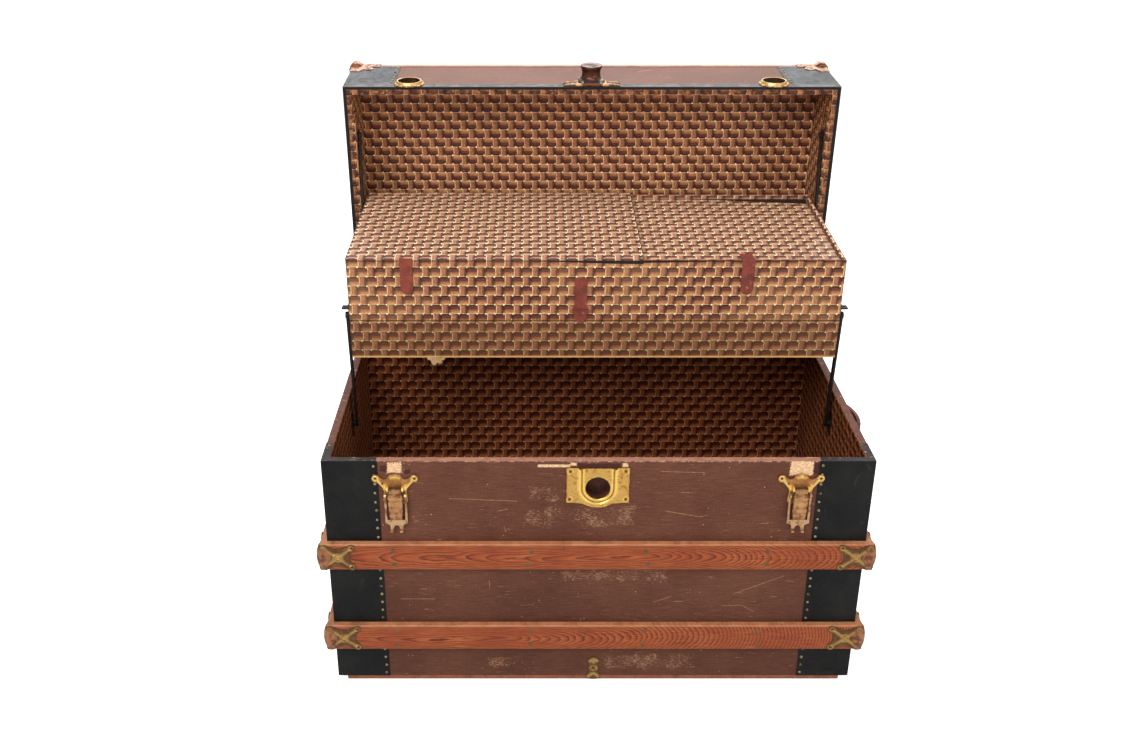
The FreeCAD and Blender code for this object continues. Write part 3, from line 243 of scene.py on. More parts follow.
# 1 inside a box of two coordinates, with a ragged edge
def ragged(f, across, up, box, rough=3.0, scale=0.12):
    left, right, foot, top = box
    edge = (f.noise(f.at, scale, 7.0, 0.8) - 0.5) * (13.0 * rough)
    outside = ((across - (left + right) / 2).size() - (right - left) / 2).atLeast(
        (up - (foot + top) / 2).size() - (top - foot) / 2)
    return (outside + edge).rise(-1.2, 0.8, 1.0, 0.0)


weave = {
    "across": 15.75, "up": 17.6,           # pitches of the printed straps
    "startX": -442.4, "startZ": 191.0,    # a crossing that the pattern is counted from
    "halfStrap": 0.37,                     # half width of an upright, in pitches
    "upright": tint(166, 116, 86), "uprightEdge": tint(130, 84, 62), "uprightDark": tint(74, 40, 26),
    "lit": tint(226, 186, 140), "foot": tint(196, 150, 108), "middle": tint(158, 108, 76),
    "head": tint(106, 62, 46), "line": tint(44, 20, 12), "glint": tint(250, 226, 186),
    "blush": tint(132, 78, 66), "stain": tint(58, 30, 20), "rubbed": tint(222, 188, 146),
    "contrast": 1.25, "gain": (1.32, 1.5, 1.62),
}


# Paper printed like basketwork. The print lies in the plane that a face looks out of.
def weavePaper(name, place, tone=(1.0, 1.0, 1.0), dirt=0.3, torn=None, gloss=0.3):
    f = Finish(name, place, gloss)
    x, y, z = f.at.split()
    lookX, _, lookZ = [part.size() for part in f.facing.split()]
    onEnd, onFlat = lookX > 0.7, lookZ > 0.7
    wander = f.noise(f.at, 0.025, 2.0) - 0.5
    level, height = x * (1 - onEnd) + y * onEnd, z * (1 - onFlat) + y * onFlat
    u = (level - weave["startX"] + wander * 2.4) / weave["across"]
    v = (height - weave["startZ"] + wander * 1.6) / weave["up"]
    column, row = u.does("FLOOR"), v.does("FLOOR")
    across, up = u - column - 0.5, v - row          # -0.5 to 0.5, and 0 to 1 from the foot
    isUpright = ((column + row) / 2).does("FRACT") > 0.25
    side = across.size()
    flare = (up - 0.5).size().rise(0.3, 0.5, 0.0, 0.045)
    strap = isUpright * (side - flare).rise(weave["halfStrap"] - 0.02, weave["halfStrap"] + 0.02,
                                            1.0, 0.0)
    bar = up.through((0.0, weave["lit"]), (0.1, weave["foot"]), (0.42, weave["middle"]),
                     (0.56, weave["head"]), (0.82, weave["head"]), (0.88, weave["line"]),
                     (1.0, weave["line"]))
    shade = (isUpright * (across > 0.0) * 0.95).atLeast(
        (1 - isUpright) * across.rise(-0.5, -0.28, 0.8, 0.0))
    bar = shade.mix(bar, bar * (0.36, 0.3, 0.28))
    upright = (across + 0.5).through((0.1, weave["lit"]), (0.18, weave["lit"]), (0.26, weave["upright"]),
                                     (0.58, weave["upright"]), (0.72, weave["uprightEdge"]),
                                     (0.86, weave["uprightDark"]))
    upright = (up + side * 0.1).rise(0.05, 0.1, 0.8, 0.0).mix(upright, weave["lit"])
    upright = up.rise(0.9, 0.97, 0.0, 0.5).mix(upright, weave["uprightDark"])
    colour = strap.mix(bar, upright)
    cornerX, cornerZ = 0.5 - side, 0.5 - (up - 0.5).size()
    spot = ((cornerX * cornerX + cornerZ * cornerZ) ** 0.5).rise(0.06, 0.13, 1.0, 0.0)
    patchy = f.noise(f.at, 0.05, 3.0)
    colour = (spot * patchy.rise(0.3, 0.5, 0.5, 1.0)).mix(colour, weave["glint"])
    # hatching of the print along each strap, stains and rubbed spots
    down = f.noise(f.point(level * 0.55, height * 0.16, y * 0.2), 1.0, 5.0, 0.8)
    along = f.noise(f.point(level * 0.16, height * 0.55, y * 0.2 + 40.0), 1.0, 5.0, 0.8)
    hatch = strap * down + (1 - strap) * along
    colour = colour * hatch.rise(0.36, 0.64, 0.62, 1.34)
    warm = f.noise(f.at, 0.3, 3.0, 0.6).rise(0.35, 0.65)
    colour = (warm * 0.22).mix(colour, weave["blush"])
    stain = f.noise(f.at, 0.009, 5.0, 0.65).rise(0.4, 0.75) * dirt
    colour = stain.mix(colour, weave["stain"])
    rubbed = f.noise(f.at, 0.05, 8.0, 0.78).rise(0.655, 0.7) * 0.6
    colour = rubbed.mix(colour, weave["rubbed"])
    if torn:
        colour = torn(f, x, y, z, colour)
    deep = f.node("ShaderNodeGamma", {}, {"Color": colour, "Gamma": weave["contrast"]})
    colour = deep * tuple(gain * part for gain, part in zip(weave["gain"], tone))
    return f.wears(colour, rough=hatch.rise(0.2, 0.8, 0.7, 0.52), height=strap * 0.5 + hatch * 0.3,
                   depth=0.2)


cloth = {
    "face": tint(103, 63, 47), "dark": tint(88, 51, 37), "scuff": tint(198, 152, 118),
    "cut": tint(206, 160, 118), "speck": tint(208, 168, 140), "crack": tint(48, 25, 18),
    "hole": tint(60, 30, 25), "fluff": tint(246, 216, 176), "fluffDark": tint(196, 148, 106),
    # the rim colours are the rubbed canvas painted lighter: painted light of the rim's top face
    "scored": tint(190, 136, 98), "rim": tint(180, 130, 110), "rimDark": tint(148, 100, 84),
    "rimBare": tint(222, 186, 150), "rimFolded": (tint(36, 36, 36), tint(58, 56, 54)),
    "edgeBare": tint(214, 172, 136), "foldedFrom": 367.0,
    "endRim": (tint(120, 74, 60), tint(84, 48, 38)), "endBare": tint(214, 170, 120),
    "endFolded": (tint(34, 32, 30), tint(66, 58, 52)),
}


# Painted canvas glued over the boards, scuffed down to its threads
def wornCanvas(name, place, tone=(1.0, 1.0, 1.0), patches=None, scuffs=1.0):
    f = Finish(name, place, 0.14)
    x, y, z = f.at.split()
    broad = f.noise(f.at, 0.005, 4.0, 0.6)
    colour = broad.rise(0.3, 0.7).mix(cloth["face"], cloth["dark"])
    threads = f.noise(f.at * (0.03, 0.03, 0.5), 1.0, 4.0, 0.8)
    grain = f.noise(f.at, 0.35, 5.0, 0.85)
    colour = colour * threads.rise(0.36, 0.64, 0.8, 1.2) * grain.rise(0.36, 0.64, 0.84, 1.16)
    # long thin scratches, mostly level, then crumbling patches
    scratches = f.noise(f.at * (0.1, 0.1, 1.0), 0.22, 7.0, 0.8, 0.15).rise(0.6, 0.64)
    where = f.noise(f.at, 0.012, 3.0, 0.6).rise(0.4, 0.56)
    crumbs = f.noise(f.at * (0.4, 0.4, 1.0), 0.34, 8.0, 0.85).rise(0.59, 0.65) * f.noise(
        f.at + 300.0, 0.011, 2.0).rise(0.48, 0.6)
    scuff = (scratches * where * 0.6 + crumbs * 0.6).atMost(0.9) * scuffs
    colour = scuff.mix(colour, cloth["scuff"])
    slanted = f.node("ShaderNodeVectorRotate", {"rotation_type": "Y_AXIS"},
                     {"Vector": f.at, "Angle": 0.45})
    cuts = f.noise(slanted * (0.05, 0.05, 1.0), 0.2, 2.0, 0.5).rise(0.745, 0.755)
    colour = (cuts * 0.6).mix(colour, cloth["cut"])
    specks = f.cells(f.at, 0.07).rise(0.05, 0.09, 1.0, 0.0) * f.noise(f.at, 0.03, 2.0).rise(0.5, 0.6)
    colour = (specks * 0.7).mix(colour, cloth["speck"])
    cracks = f.noise(f.at, 0.03, 10.0, 0.8, 0.7).rise(0.66, 0.7)
    colour = (cracks * 0.5).mix(colour, cloth["crack"])
    if patches:
        colour = patches(f, x, y, z, colour)
    colour = colour * tone
    return f.wears(colour, rough=scuff.rise(0, 1, 0.5, 0.85), depth=0.2,
                   height=threads * 0.6 + grain * 0.5 - scuff * 0.6)


leathercloth = {"crease": tint(70, 68, 66), "scratch": tint(186, 170, 150), "rust": tint(104, 56, 28)}


# Black leathercloth pressed over sheet steel, dulled and scratched
def blackBinding(name, place, face=(12, 12, 12), sheen=(27, 26, 25)):
    f = Finish(name, place, 0.14)
    broad = f.noise(f.at, 0.012, 5.0, 0.65)
    colour = broad.rise(0.35, 0.7).mix(tint(*face), tint(*sheen))
    pebble = f.cells(f.at, 0.5)
    creases = f.noise(f.at * (1.0, 1.0, 0.5), 0.045, 6.0, 0.7, 0.9)
    colour = (creases.rise(0.58, 0.74) * 0.3).mix(colour, leathercloth["crease"])
    scratch = f.noise(f.at * (0.3, 0.3, 1.6), 0.08, 9.0, 0.8, 1.5).rise(0.72, 0.73)
    colour = (scratch * 0.8).mix(colour, leathercloth["scratch"])
    rust = f.noise(f.at, 0.03, 6.0, 0.7).rise(0.7, 0.78)
    colour = (rust * 0.6).mix(colour, leathercloth["rust"])
    return f.wears(colour, rough=creases.rise(0.3, 0.7, 0.34, 0.5), depth=0.8,
                   height=pebble * 0.25 + creases * 2.0)


timber = {
    "ring": 2.4, "depth": 6.0, "lean": 0.052, "bend": 0.0003, "wander": 18.0, "sway": 22.0,
    "heart": 25.0,                            # up from a slat's foot to the middle of its rings
    "early": tint(176, 94, 56), "middle": tint(154, 70, 38), "late": tint(82, 30, 16),
    "pale": tint(206, 126, 84), "red": tint(134, 54, 32), "grime": tint(78, 38, 24),
    "worn": tint(206, 146, 112), "chip": tint(214, 160, 120),
}


# A flat sawn slat. Its growth rings are cylinders that lean away from its face, which gives flames.
def varnishedSlat(name, place, along, across, foot, every, tone=(1.0, 1.0, 1.0), seed=0.0):
    f = Finish(name, place, 0.2)
    parts = f.at.split()
    run, over = parts[along], parts[across] - foot
    slat = (over / every).does("FLOOR")
    over = over - slat * every - timber["heart"]
    start = slat * 37.7 + seed
    drift = f.noise(f.point(run * 0.005 + start, start, 0.0), 1.0, 2.0) - 0.5
    sway = f.noise(f.point(run * 0.004, start + 50.0, 0.0), 1.0, 2.0) - 0.5
    turn = run - slat * 260.0 - 40.0
    near = (turn * turn + 3600.0) ** 0.5 * timber["lean"] + drift * timber["wander"] + timber["depth"]
    near = near + turn.atLeast(0.0) * turn.atLeast(0.0) * timber["bend"]
    level = over + sway * timber["sway"]
    distance = (near * near + level * level) ** 0.5
    stretched = f.point(run * 0.02 + start, over * 0.9, near * 0.1)
    ripple = f.noise(f.point(run * 0.03, over * 0.2, start), 1.0, 3.0)
    ring = (distance / timber["ring"] + ripple * 0.7).does("FRACT")
    colour = ring.through((0.0, timber["early"]), (0.55, timber["middle"]), (0.82, timber["late"]),
                          (0.88, timber["late"]), (1.0, timber["early"]))
    soft = f.noise(f.point(run * 0.008, over * 0.05, start + 9.0), 1.0, 3.0).rise(0.4, 0.65, 0.0, 0.4)
    colour = soft.mix(colour, timber["middle"])
    pores = f.noise(stretched, 1.0, 6.0, 0.8)
    colour = (pores.rise(0.5, 0.64) * 0.6).mix(colour, timber["late"])
    colour = (pores.rise(0.5, 0.34) * 0.5).mix(colour, timber["pale"])
    broad = f.noise(f.at, 0.01, 4.0, 0.6)
    colour = (broad.rise(0.4, 0.7) * 0.45).mix(colour, timber["red"])
    grime = f.noise(f.at, 0.025, 7.0, 0.75).rise(0.58, 0.72) * 0.45
    colour = grime.mix(colour, timber["grime"])
    worn = over.size().rise(22.5, 25.5) * f.noise(f.at, 0.04, 5.0, 0.7).rise(0.4, 0.6, 0.45, 0.75)
    colour = worn.mix(colour, timber["worn"])
    chips = f.noise(f.at, 0.12, 6.0, 0.75).rise(0.7, 0.74) * 0.7
    colour = chips.mix(colour, timber["chip"])
    colour = colour * tone
    return f.wears(colour, rough=pores.rise(0.3, 0.7, 0.4, 0.54), depth=0.2,
                   height=pores * 0.6 + grime * -0.3)


# Brass that keeps its shine on what stands out and is brown in the hollows; over raised work the hollows
# also take painted shade and the crests a painted highlight
def oldBrass(name, place, bright, dull, worn=0.5, rust=0.4, metal=0.75, relief=None,
             dark=(58, 34, 22)):
    f = Finish(name, place, 0.4)
    cloud = f.noise(f.at, 0.09, 5.0, 0.6)
    tarnish = cloud.rise(0.62 - worn * 0.3, 0.8 - worn * 0.3)
    if relief:
        out, low, high = relief(f.at.split())
        raised = out.rise(low, high)
        tarnish = (tarnish + raised.rise(0.0, 0.7, 0.5, -0.25)).atLeast(0.0).atMost(1.0)
    colour = tarnish.mix(tint(*bright), tint(*dull))
    spots = f.noise(f.at, 0.25, 5.0, 0.7).rise(0.56, 0.66)
    colour = (spots * rust).mix(colour, tint(112, 62, 36))
    pits = f.noise(f.at, 1.1, 4.0, 0.7)
    colour = colour * pits.rise(0.3, 0.7, 0.82, 1.14)
    if relief:
        # hollows darkened as patina and painted shade; crests lightened as a painted highlight
        hollowPatinaAndShade = raised.rise(0.0, 0.4, 0.85, 0.0) * f.noise(f.at, 0.15, 4.0).rise(0.3, 0.55, 0.55, 1.0)
        colour = hollowPatinaAndShade.mix(colour, tint(*dark))
        crestHighlight = tint(*(min(255, part * 1.25) for part in bright))
        colour = (raised.rise(0.75, 1.0) * 0.45).mix(colour, crestHighlight)
    return f.wears(colour, rough=tarnish.rise(0, 1, 0.34, 0.58), metal=spots * -0.3 + metal,
                   height=pits * 0.4 + cloud * 0.8, depth=0.25)


# How far a point stands out from the front board, and the range that is shaded
def offFront(low, high):
    return lambda parts: (0.0 - parts[1], low, high)


# The same over the slats' faces and the back
def offCorners(parts):
    x, y, _ = parts
    return (slatFront - y).atLeast(x.size() - slatSide).atLeast(y - backFace), 1.0, 3.4


def coatedSteel(name, place, face, wear, rough=0.5, metal=0.3):
    f = Finish(name, place, 0.35)
    cloud = f.noise(f.at, 0.05, 6.0, 0.7)
    colour = cloud.rise(0.4, 0.7).mix(tint(*face), tint(*(part * 1.35 for part in face)))
    rust = f.noise(f.at, 0.12, 7.0, 0.75).rise(0.6, 0.7)
    colour = (rust * 0.6).mix(colour, tint(*wear))
    grain = f.noise(f.at, 0.9, 3.0)
    return f.wears(colour, rough=cloud.rise(0.3, 0.7, rough - 0.1, rough + 0.15), metal=metal,
                   height=grain * 0.3 + rust * 0.6, depth=0.22)


def dryLeather(name, place, face=(138, 60, 44), edge=(84, 34, 24), paleTone=(188, 108, 86)):
    f = Finish(name, place, 0.35)
    broad = f.noise(f.at, 0.035, 5.0, 0.65)
    colour = broad.rise(0.35, 0.7).mix(tint(*face), tint(*edge))
    grain = f.cells(f.at, 0.9)
    wrinkle = f.noise(f.at * (1.0, 1.0, 0.5), 0.16, 6.0, 0.7, 0.7)
    colour = (wrinkle.rise(0.56, 0.68) * 0.6).mix(colour, tint(*edge))
    # paler patches at random
    paleMottle = f.noise(f.at, 0.07, 5.0, 0.7).rise(0.55, 0.7) * 0.55
    colour = paleMottle.mix(colour, tint(*paleTone))
    return f.wears(colour, rough=broad.rise(0.3, 0.7, 0.48, 0.64), height=wrinkle + grain * 0.25,
                   depth=0.35)


# Bare, torn and rubbed places on the front board: x from left to right, then z from the rim
frontWear = {
    "pale": [(-349, -325, -23, -3, 1.6), (317, 355, -27, 0, 1.4), (-100, -46, -12, -6.5, 0.5),
             (-46, -36, -9, -3, 0.8), (40, 49, -12, -4, 0.9)],
    "dark": [(-34, 36, -13, -4.5, 0.9), (-361, -350, -21, -8, 1.2), (-321, -311, -25, -16, 0.9),
             (354, 366, -24, -3, 1.0)],
    "rubbed": [(-120, 60, -126, -90, 5.0), (-112, -50, -72, -50, 4.0), (-60, 120, -236, -214, 4.0),
               (-190, -130, -420, -400, 4.0), (20, 180, -424, -396, 4.0)],
    "scored": [(114, -96, 174, -108), (174, -108, 185, -104), (104, -20, 176, -22), (-248, -72, -135, -77),
               (-165, -96, -150, -92), (-157, -127, -154, -137), (241, -264, 325, -227),
               (222, -290, 256, -288), (256, -288, 278, -302), (102, -282, 132, -270),
               (-338, -275, -278, -275), (-184, -236, -183, -252), (-303, -254, -293, -254)],
    "scoredWidths": (0.24, 0.72),   # how far from its middle a line starts to fade, and is gone
}


# A thin line scored between two points
def scored(f, x, z, line):
    startX, startZ, endX, endZ = line
    runX, runZ = endX - startX, endZ - startZ
    offX, offZ = x - startX, z - startZ
    share = ((offX * runX + offZ * runZ) / (runX ** 2 + runZ ** 2)).atLeast(0.0).atMost(1.0)
    awayX, awayZ = offX - share * runX, offZ - share * runZ
    away = (awayX * awayX + awayZ * awayZ) ** 0.5 + (f.noise(f.at, 0.15, 4.0) - 0.5) * 1.6
    return away.rise(*frontWear["scoredWidths"], 1.0, 0.0)


def frontPatches(f, x, y, z, colour):
    onFront = y < 0.6
    lines = onFront * 0.0
    for line in frontWear["scored"]:
        lines = lines.atLeast(scored(f, x, z, line))
    colour = (lines * onFront * 0.55).mix(colour, cloth["scored"])
    colour = colour * z.rise(-330.0, -150.0, 0.84, 1.0)      # darker towards the bottom
    flakes = f.noise(f.at * (0.4, 1, 1), 0.42, 8.0, 0.85)
    drift = f.noise(f.at + 70.0, 0.028, 4.0, 0.7).rise(0.35, 0.65, 0.09, 0.0)
    for *box, rough in frontWear["rubbed"]:
        rubbed = ragged(f, x, z, box, rough, 0.03) * (flakes - drift).rise(0.475, 0.54)
        colour = (rubbed * onFront * 0.45).mix(colour, cloth["scuff"])
    for *box, rough in frontWear["dark"]:
        colour = (ragged(f, x, z, box, rough, 0.2) * onFront * 0.85).mix(colour, cloth["hole"])
    for *box, rough in frontWear["pale"]:
        fluff = flakes.rise(0.35, 0.6).mix(cloth["fluff"], cloth["fluffDark"])
        colour = (ragged(f, x, z, box, rough, 0.25) * onFront).mix(colour, fluff)
    # the rim is rubbed pink and painted lighter as painted light of its top face, and black where the
    # binding is folded over it
    rim = f.noise(f.at, 0.05, 5.0, 0.7).rise(0.3, 0.7).mix(cloth["rim"], cloth["rimDark"])
    folded = f.noise(f.at, 0.04, 5.0, 0.7).rise(0.3, 0.7).mix(*cloth["rimFolded"])
    rim = (x.size() > cloth["foldedFrom"]).mix(rim, folded)
    bare = f.noise(f.at * (0.3, 1, 1), 0.12, 6.0, 0.8).rise(0.58, 0.63)
    rim = (bare * 0.8).mix(rim, cloth["rimBare"])
    worn = f.noise(f.at, 0.08, 6.0, 0.8).rise(0.5, 0.56) * (z > -2.2) * onFront
    colour = (worn * 0.6).mix(colour, cloth["edgeBare"])
    return ((z > -0.4) * 0.95).mix(colour, rim)


def endPatches(f, x, y, z, colour):
    rim = f.noise(f.at, 0.05, 5.0, 0.7).rise(0.3, 0.7).mix(*cloth["endRim"])
    folded = f.noise(f.at, 0.04, 5.0, 0.7).rise(0.3, 0.7).mix(*cloth["endFolded"])
    rim = (y < trunk["bindingEnd"]).mix(rim, folded)
    bare = f.noise(f.at, 0.05, 6.0, 0.8).rise(0.57, 0.62)
    rim = (bare * 0.85).mix(rim, cloth["endBare"])
    return ((z > -0.4) * 0.95).mix(colour, rim)


trayWearAndShade = {
    "seam": 73.0, "brown": tint(104, 68, 34), "faded": tint(214, 172, 124),
    "flaked": tint(226, 190, 140), "torn": tint(236, 208, 156), "slit": tint(66, 38, 24),
    "foot": tint(206, 164, 108), "top": 184.4, "under": tint(30, 16, 11),
    "gapFrom": 122.0, "gapSlope": 0.122, "gapBack": 333.5, "backGapShade": tint(22, 10, 8),
}


# The tray's front is papered in two sheets, which have come loose where they meet; along its top a dark
# band is painted shade of the gap under the lids
def seamTearsAndGapShade(f, x, y, z, colour):
    onFront = y < 1.4
    isUpper = z > trayWearAndShade["seam"]
    near = (z - trayWearAndShade["seam"]).size()
    tears = f.noise(f.at * (1.0, 1.0, 0.3), 0.05, 6.0, 0.8).rise(0.58, 0.62)
    # the lower sheet is browner; the upper one is rubbed at its left and along its top
    colour = ((z < trayWearAndShade["seam"]) * onFront * 0.42).mix(colour, trayWearAndShade["brown"])
    faded = f.noise(f.at, 0.006, 3.0, 0.5).rise(0.45, 0.62) * isUpper * onFront * 0.14
    colour = faded.mix(colour, trayWearAndShade["faded"])
    flaked = f.noise(f.at, 0.12, 8.0, 0.8).rise(0.6, 0.66) * (z > 120.0) * onFront * 0.45
    colour = flaked.mix(colour, trayWearAndShade["flaked"])
    colour = (near.rise(1.0, 5.0, 1.0, 0.0) * tears * onFront * 0.85).mix(colour, trayWearAndShade["torn"])
    colour = (near.rise(0.4, 1.5, 1.0, 0.0) * onFront * 0.7).mix(colour, trayWearAndShade["slit"])
    colour = ((z < 3.4) * onFront * 0.85).mix(colour, trayWearAndShade["foot"])
    # painted shade: a dark band along the top of the front stands for the shadowed gap where the warped
    # lids stand a little open over the middle of the front edge
    gap = x.rise(-120.0, 74.0, 0.0, 5.0) * (x < 82.0) + x.rise(82.0, 240.0, 2.6, 0.0) * (x > 82.0)
    return ((z > trayWearAndShade["top"] - gap) * onFront * 0.95).mix(colour, trayWearAndShade["under"])


# Painted shade: the right lid has shrunk away from the back, and a dark wedge on its top stands for the
# shadowed gap there, which widens towards the end
def paintedBackGap(f, x, y, z, colour):
    slope = (x - trayWearAndShade["gapFrom"]) * trayWearAndShade["gapSlope"]
    depth = slope + (f.noise(f.at, 0.02, 3.0) - 0.5) * 5.0
    gap = (y > trayWearAndShade["gapBack"] - depth) * (y < 333.95) * (x > 126.0) * (x < 424.5) * (z > 170.0)
    facesUp = f.facing.split()[2] > 0.5
    return (gap * facesUp * 0.96).mix(colour, trayWearAndShade["backGapShade"])


lidEdge = {"pale": tint(204, 150, 98), "brown": tint(58, 32, 24), "binding": tint(30, 22, 18),
           "bindingSide": 451.5, "bindingFront": 4.2}


# The lid's edge: black binding outermost, torn paper within
def frayedRim(f, x, y, z, colour):
    frayed = f.noise(f.at, 0.07, 6.0, 0.8)
    colour = (frayed.rise(0.52, 0.58) * 0.75).mix(colour, lidEdge["pale"])
    colour = (frayed.rise(0.46, 0.38) * 0.8).mix(colour, lidEdge["brown"])
    outer = (x.size() - lidEdge["bindingSide"]).atLeast(lidEdge["bindingFront"] - y)
    outer = outer + (frayed - 0.5) * 5.0
    return (outer.rise(-0.8, 0.8) * (z < 1.0)).mix(colour, lidEdge["binding"])


catch = {"middle": 337.0, "up": 20.1, "holeUp": 20.0, "holeRadius": 20.6, "rimRadius": 20.9,
         "inside": tint(16, 11, 9), "beads": 15, "beadRing": 25.6, "flange": 27.0, "scallop": 0.9}


# How far a point of the lid's front is from the middle of the nearer catch collar
def fromCollar(x, z, up):
    across, over = x.size() - catch["middle"], z - up
    return (across * across + over * over) ** 0.5


# Inside the catch collars the lid's front is painted near-black: painted shade of the hollow behind the
# open collars
def collarHoleShade(f, x, y, z, colour):
    away = fromCollar(x, z, catch["holeUp"])
    return ((away < catch["holeRadius"]) * 0.97).mix(colour, catch["inside"])


# The collar's bore counts as a hollow here, so its inside is painted dark: painted shade
def ringRelief(parts):
    x, y, z = parts
    away = fromCollar(x, z, catch["up"])
    return (0.0 - y) * (away > catch["rimRadius"]), 1.2, 4.5


paint = {
    "frontCanvas": wornCanvas("front_canvas", basePlace, patches=frontPatches),
    "baseCanvas": wornCanvas("base_canvas", basePlace, patches=endPatches),
    # the lid's canvas takes a lighter tone than the base's: painted light of its upturned faces
    "litLidCanvas": wornCanvas("lid_canvas_lit", lidPlace, scuffs=0.6, patches=collarHoleShade,
                            tone=(1.44, 1.31, 1.1)),
    # the base's lining takes a darker, redder tone than the lid's: painted shade of the deep inside
    "shadedBasePaper": weavePaper("base_paper_shaded", basePlace, tone=(0.56, 0.36, 0.27), dirt=0.3, gloss=0.1),
    "lidPaper": weavePaper("lid_paper", lidPlace, tone=(1.12, 1.04, 0.98), dirt=0.2),
    "lidRimPaper": weavePaper("lid_rim_paper", lidPlace, tone=(0.6, 0.5, 0.44), dirt=0.6,
                              torn=frayedRim),
    # the tray's paper takes a lighter, greyer tone than its front: painted light of the lids' upward faces
    "litTrayPaper": weavePaper("tray_paper_lit", trayPlace, tone=(1.28, 1.46, 1.72), dirt=0.08, gloss=0.5,
                            torn=paintedBackGap),
    "trayFront": weavePaper("tray_front", trayPlace, tone=(0.92, 0.86, 0.8), dirt=0.1,
                            torn=seamTearsAndGapShade),
    "baseBinding": blackBinding("base_binding", basePlace),
    # the lid's bindings are painted lighter and bluer than the base's: painted sheen of their upturned
    # faces
    "litLidBinding": blackBinding("lid_binding_lit", lidPlace, face=(38, 41, 44), sheen=(66, 68, 72)),
    "frontSlats": varnishedSlat("front_slat_wood", basePlace, 0, 2, trunk["slatFoot"],
                                trunk["slatDrop"], tone=(0.86, 0.86, 0.72)),
    "endSlats": varnishedSlat("end_slat_wood", basePlace, 1, 2, trunk["slatFoot"],
                              trunk["slatDrop"], seed=9.0, tone=(0.9, 0.92, 0.8)),
    "lidSlats": varnishedSlat("lid_slat_wood", lidPlace, 0, 1, trunk["lidSlatFoot"],
                              trunk["lidSlatPitch"], seed=23.0, tone=(0.9, 0.92, 0.8)),
    "runners": varnishedSlat("runner_wood", basePlace, 0, 1, 2.0, 200.0, seed=31.0,
                             tone=(0.5, 0.44, 0.42)),
    "lockBrass": oldBrass("lock_brass", basePlace, (214, 174, 92), (186, 128, 56), 0.35, 0.7,
                          relief=offFront(1.6, 3.6), dark=(104, 56, 28)),
    "latchBrass": oldBrass("latch_brass", basePlace, (208, 168, 92), (172, 112, 58), 0.5,
                           metal=0.45, relief=offFront(2.3, 4.4), dark=(138, 84, 42)),
    "leverBrass": oldBrass("lever_brass", basePlace, (170, 124, 80), (104, 66, 40), 0.6, 0.6, 0.6,
                           relief=offFront(11.8, 14.8), dark=(84, 50, 32)),
    "hookBrass": oldBrass("hook_brass", basePlace, (190, 150, 108), (134, 96, 70), 0.5),
    "ringBrass": oldBrass("ring_brass", lidPlace, (204, 166, 110), (136, 94, 56), 0.5, 0.4,
                          relief=ringRelief, dark=(34, 20, 14)),
    "palePlate": oldBrass("hasp_plate_brass", lidPlace, (180, 142, 98), (120, 84, 58), 0.6,
                          relief=offFront(2.8, 5.0)),
    "bumperBrass": oldBrass("bumper_brass", basePlace, (156, 120, 68), (118, 84, 52), 0.6, 0.5,
                            relief=offCorners, dark=(84, 60, 38)),
    "rollBrass": oldBrass("roll_brass", basePlace, (158, 108, 74), (112, 70, 50), 0.6, 0.5),
    "clampBrass": oldBrass("clamp_brass", basePlace, (168, 134, 80), (128, 94, 58), 0.6, 0.5,
                           relief=offFront(1.0, 3.2), dark=(100, 72, 44)),
    "capBrass": oldBrass("cap_brass", lidPlace, (166, 116, 82), (112, 74, 54), 0.6),
    "bronze": oldBrass("hasp_bronze", lidPlace, (104, 66, 48), (56, 32, 24), 0.6, 0.3),
    "clipSteel": coatedSteel("clip_steel", lidPlace, (58, 50, 46), (36, 30, 28), 0.4, 0.5),
    "rimSteel": coatedSteel("rim_steel", lidPlace, (52, 50, 48), (92, 60, 42), 0.45),
    "liftSteel": coatedSteel("lift_steel", basePlace, (26, 21, 20), (64, 44, 36)),
    "hingeSteel": coatedSteel("hinge_steel", basePlace, (44, 42, 42), (92, 60, 42)),
    "caseSteel": coatedSteel("case_steel", basePlace, (78, 46, 36), (104, 66, 48)),
    "nailBrass": oldBrass("nail_brass", basePlace, (146, 132, 96), (72, 62, 42), 0.5),
    "nailSteel": coatedSteel("nail_steel", basePlace, (92, 70, 46), (124, 70, 44), 0.45, 0.4),
    "screwSteel": coatedSteel("screw_steel", basePlace, (88, 60, 36), (44, 30, 22), 0.45, 0.5),
    "tornPaper": dryLeather("torn_paper", trayPlace, (208, 172, 122), (150, 108, 66),
                            (236, 206, 160)),
    "strapLeather": dryLeather("strap_leather", trayPlace),
    "handleLeather": dryLeather("handle_leather", basePlace, (120, 58, 42), (66, 32, 24),
                                (160, 100, 80)),
}

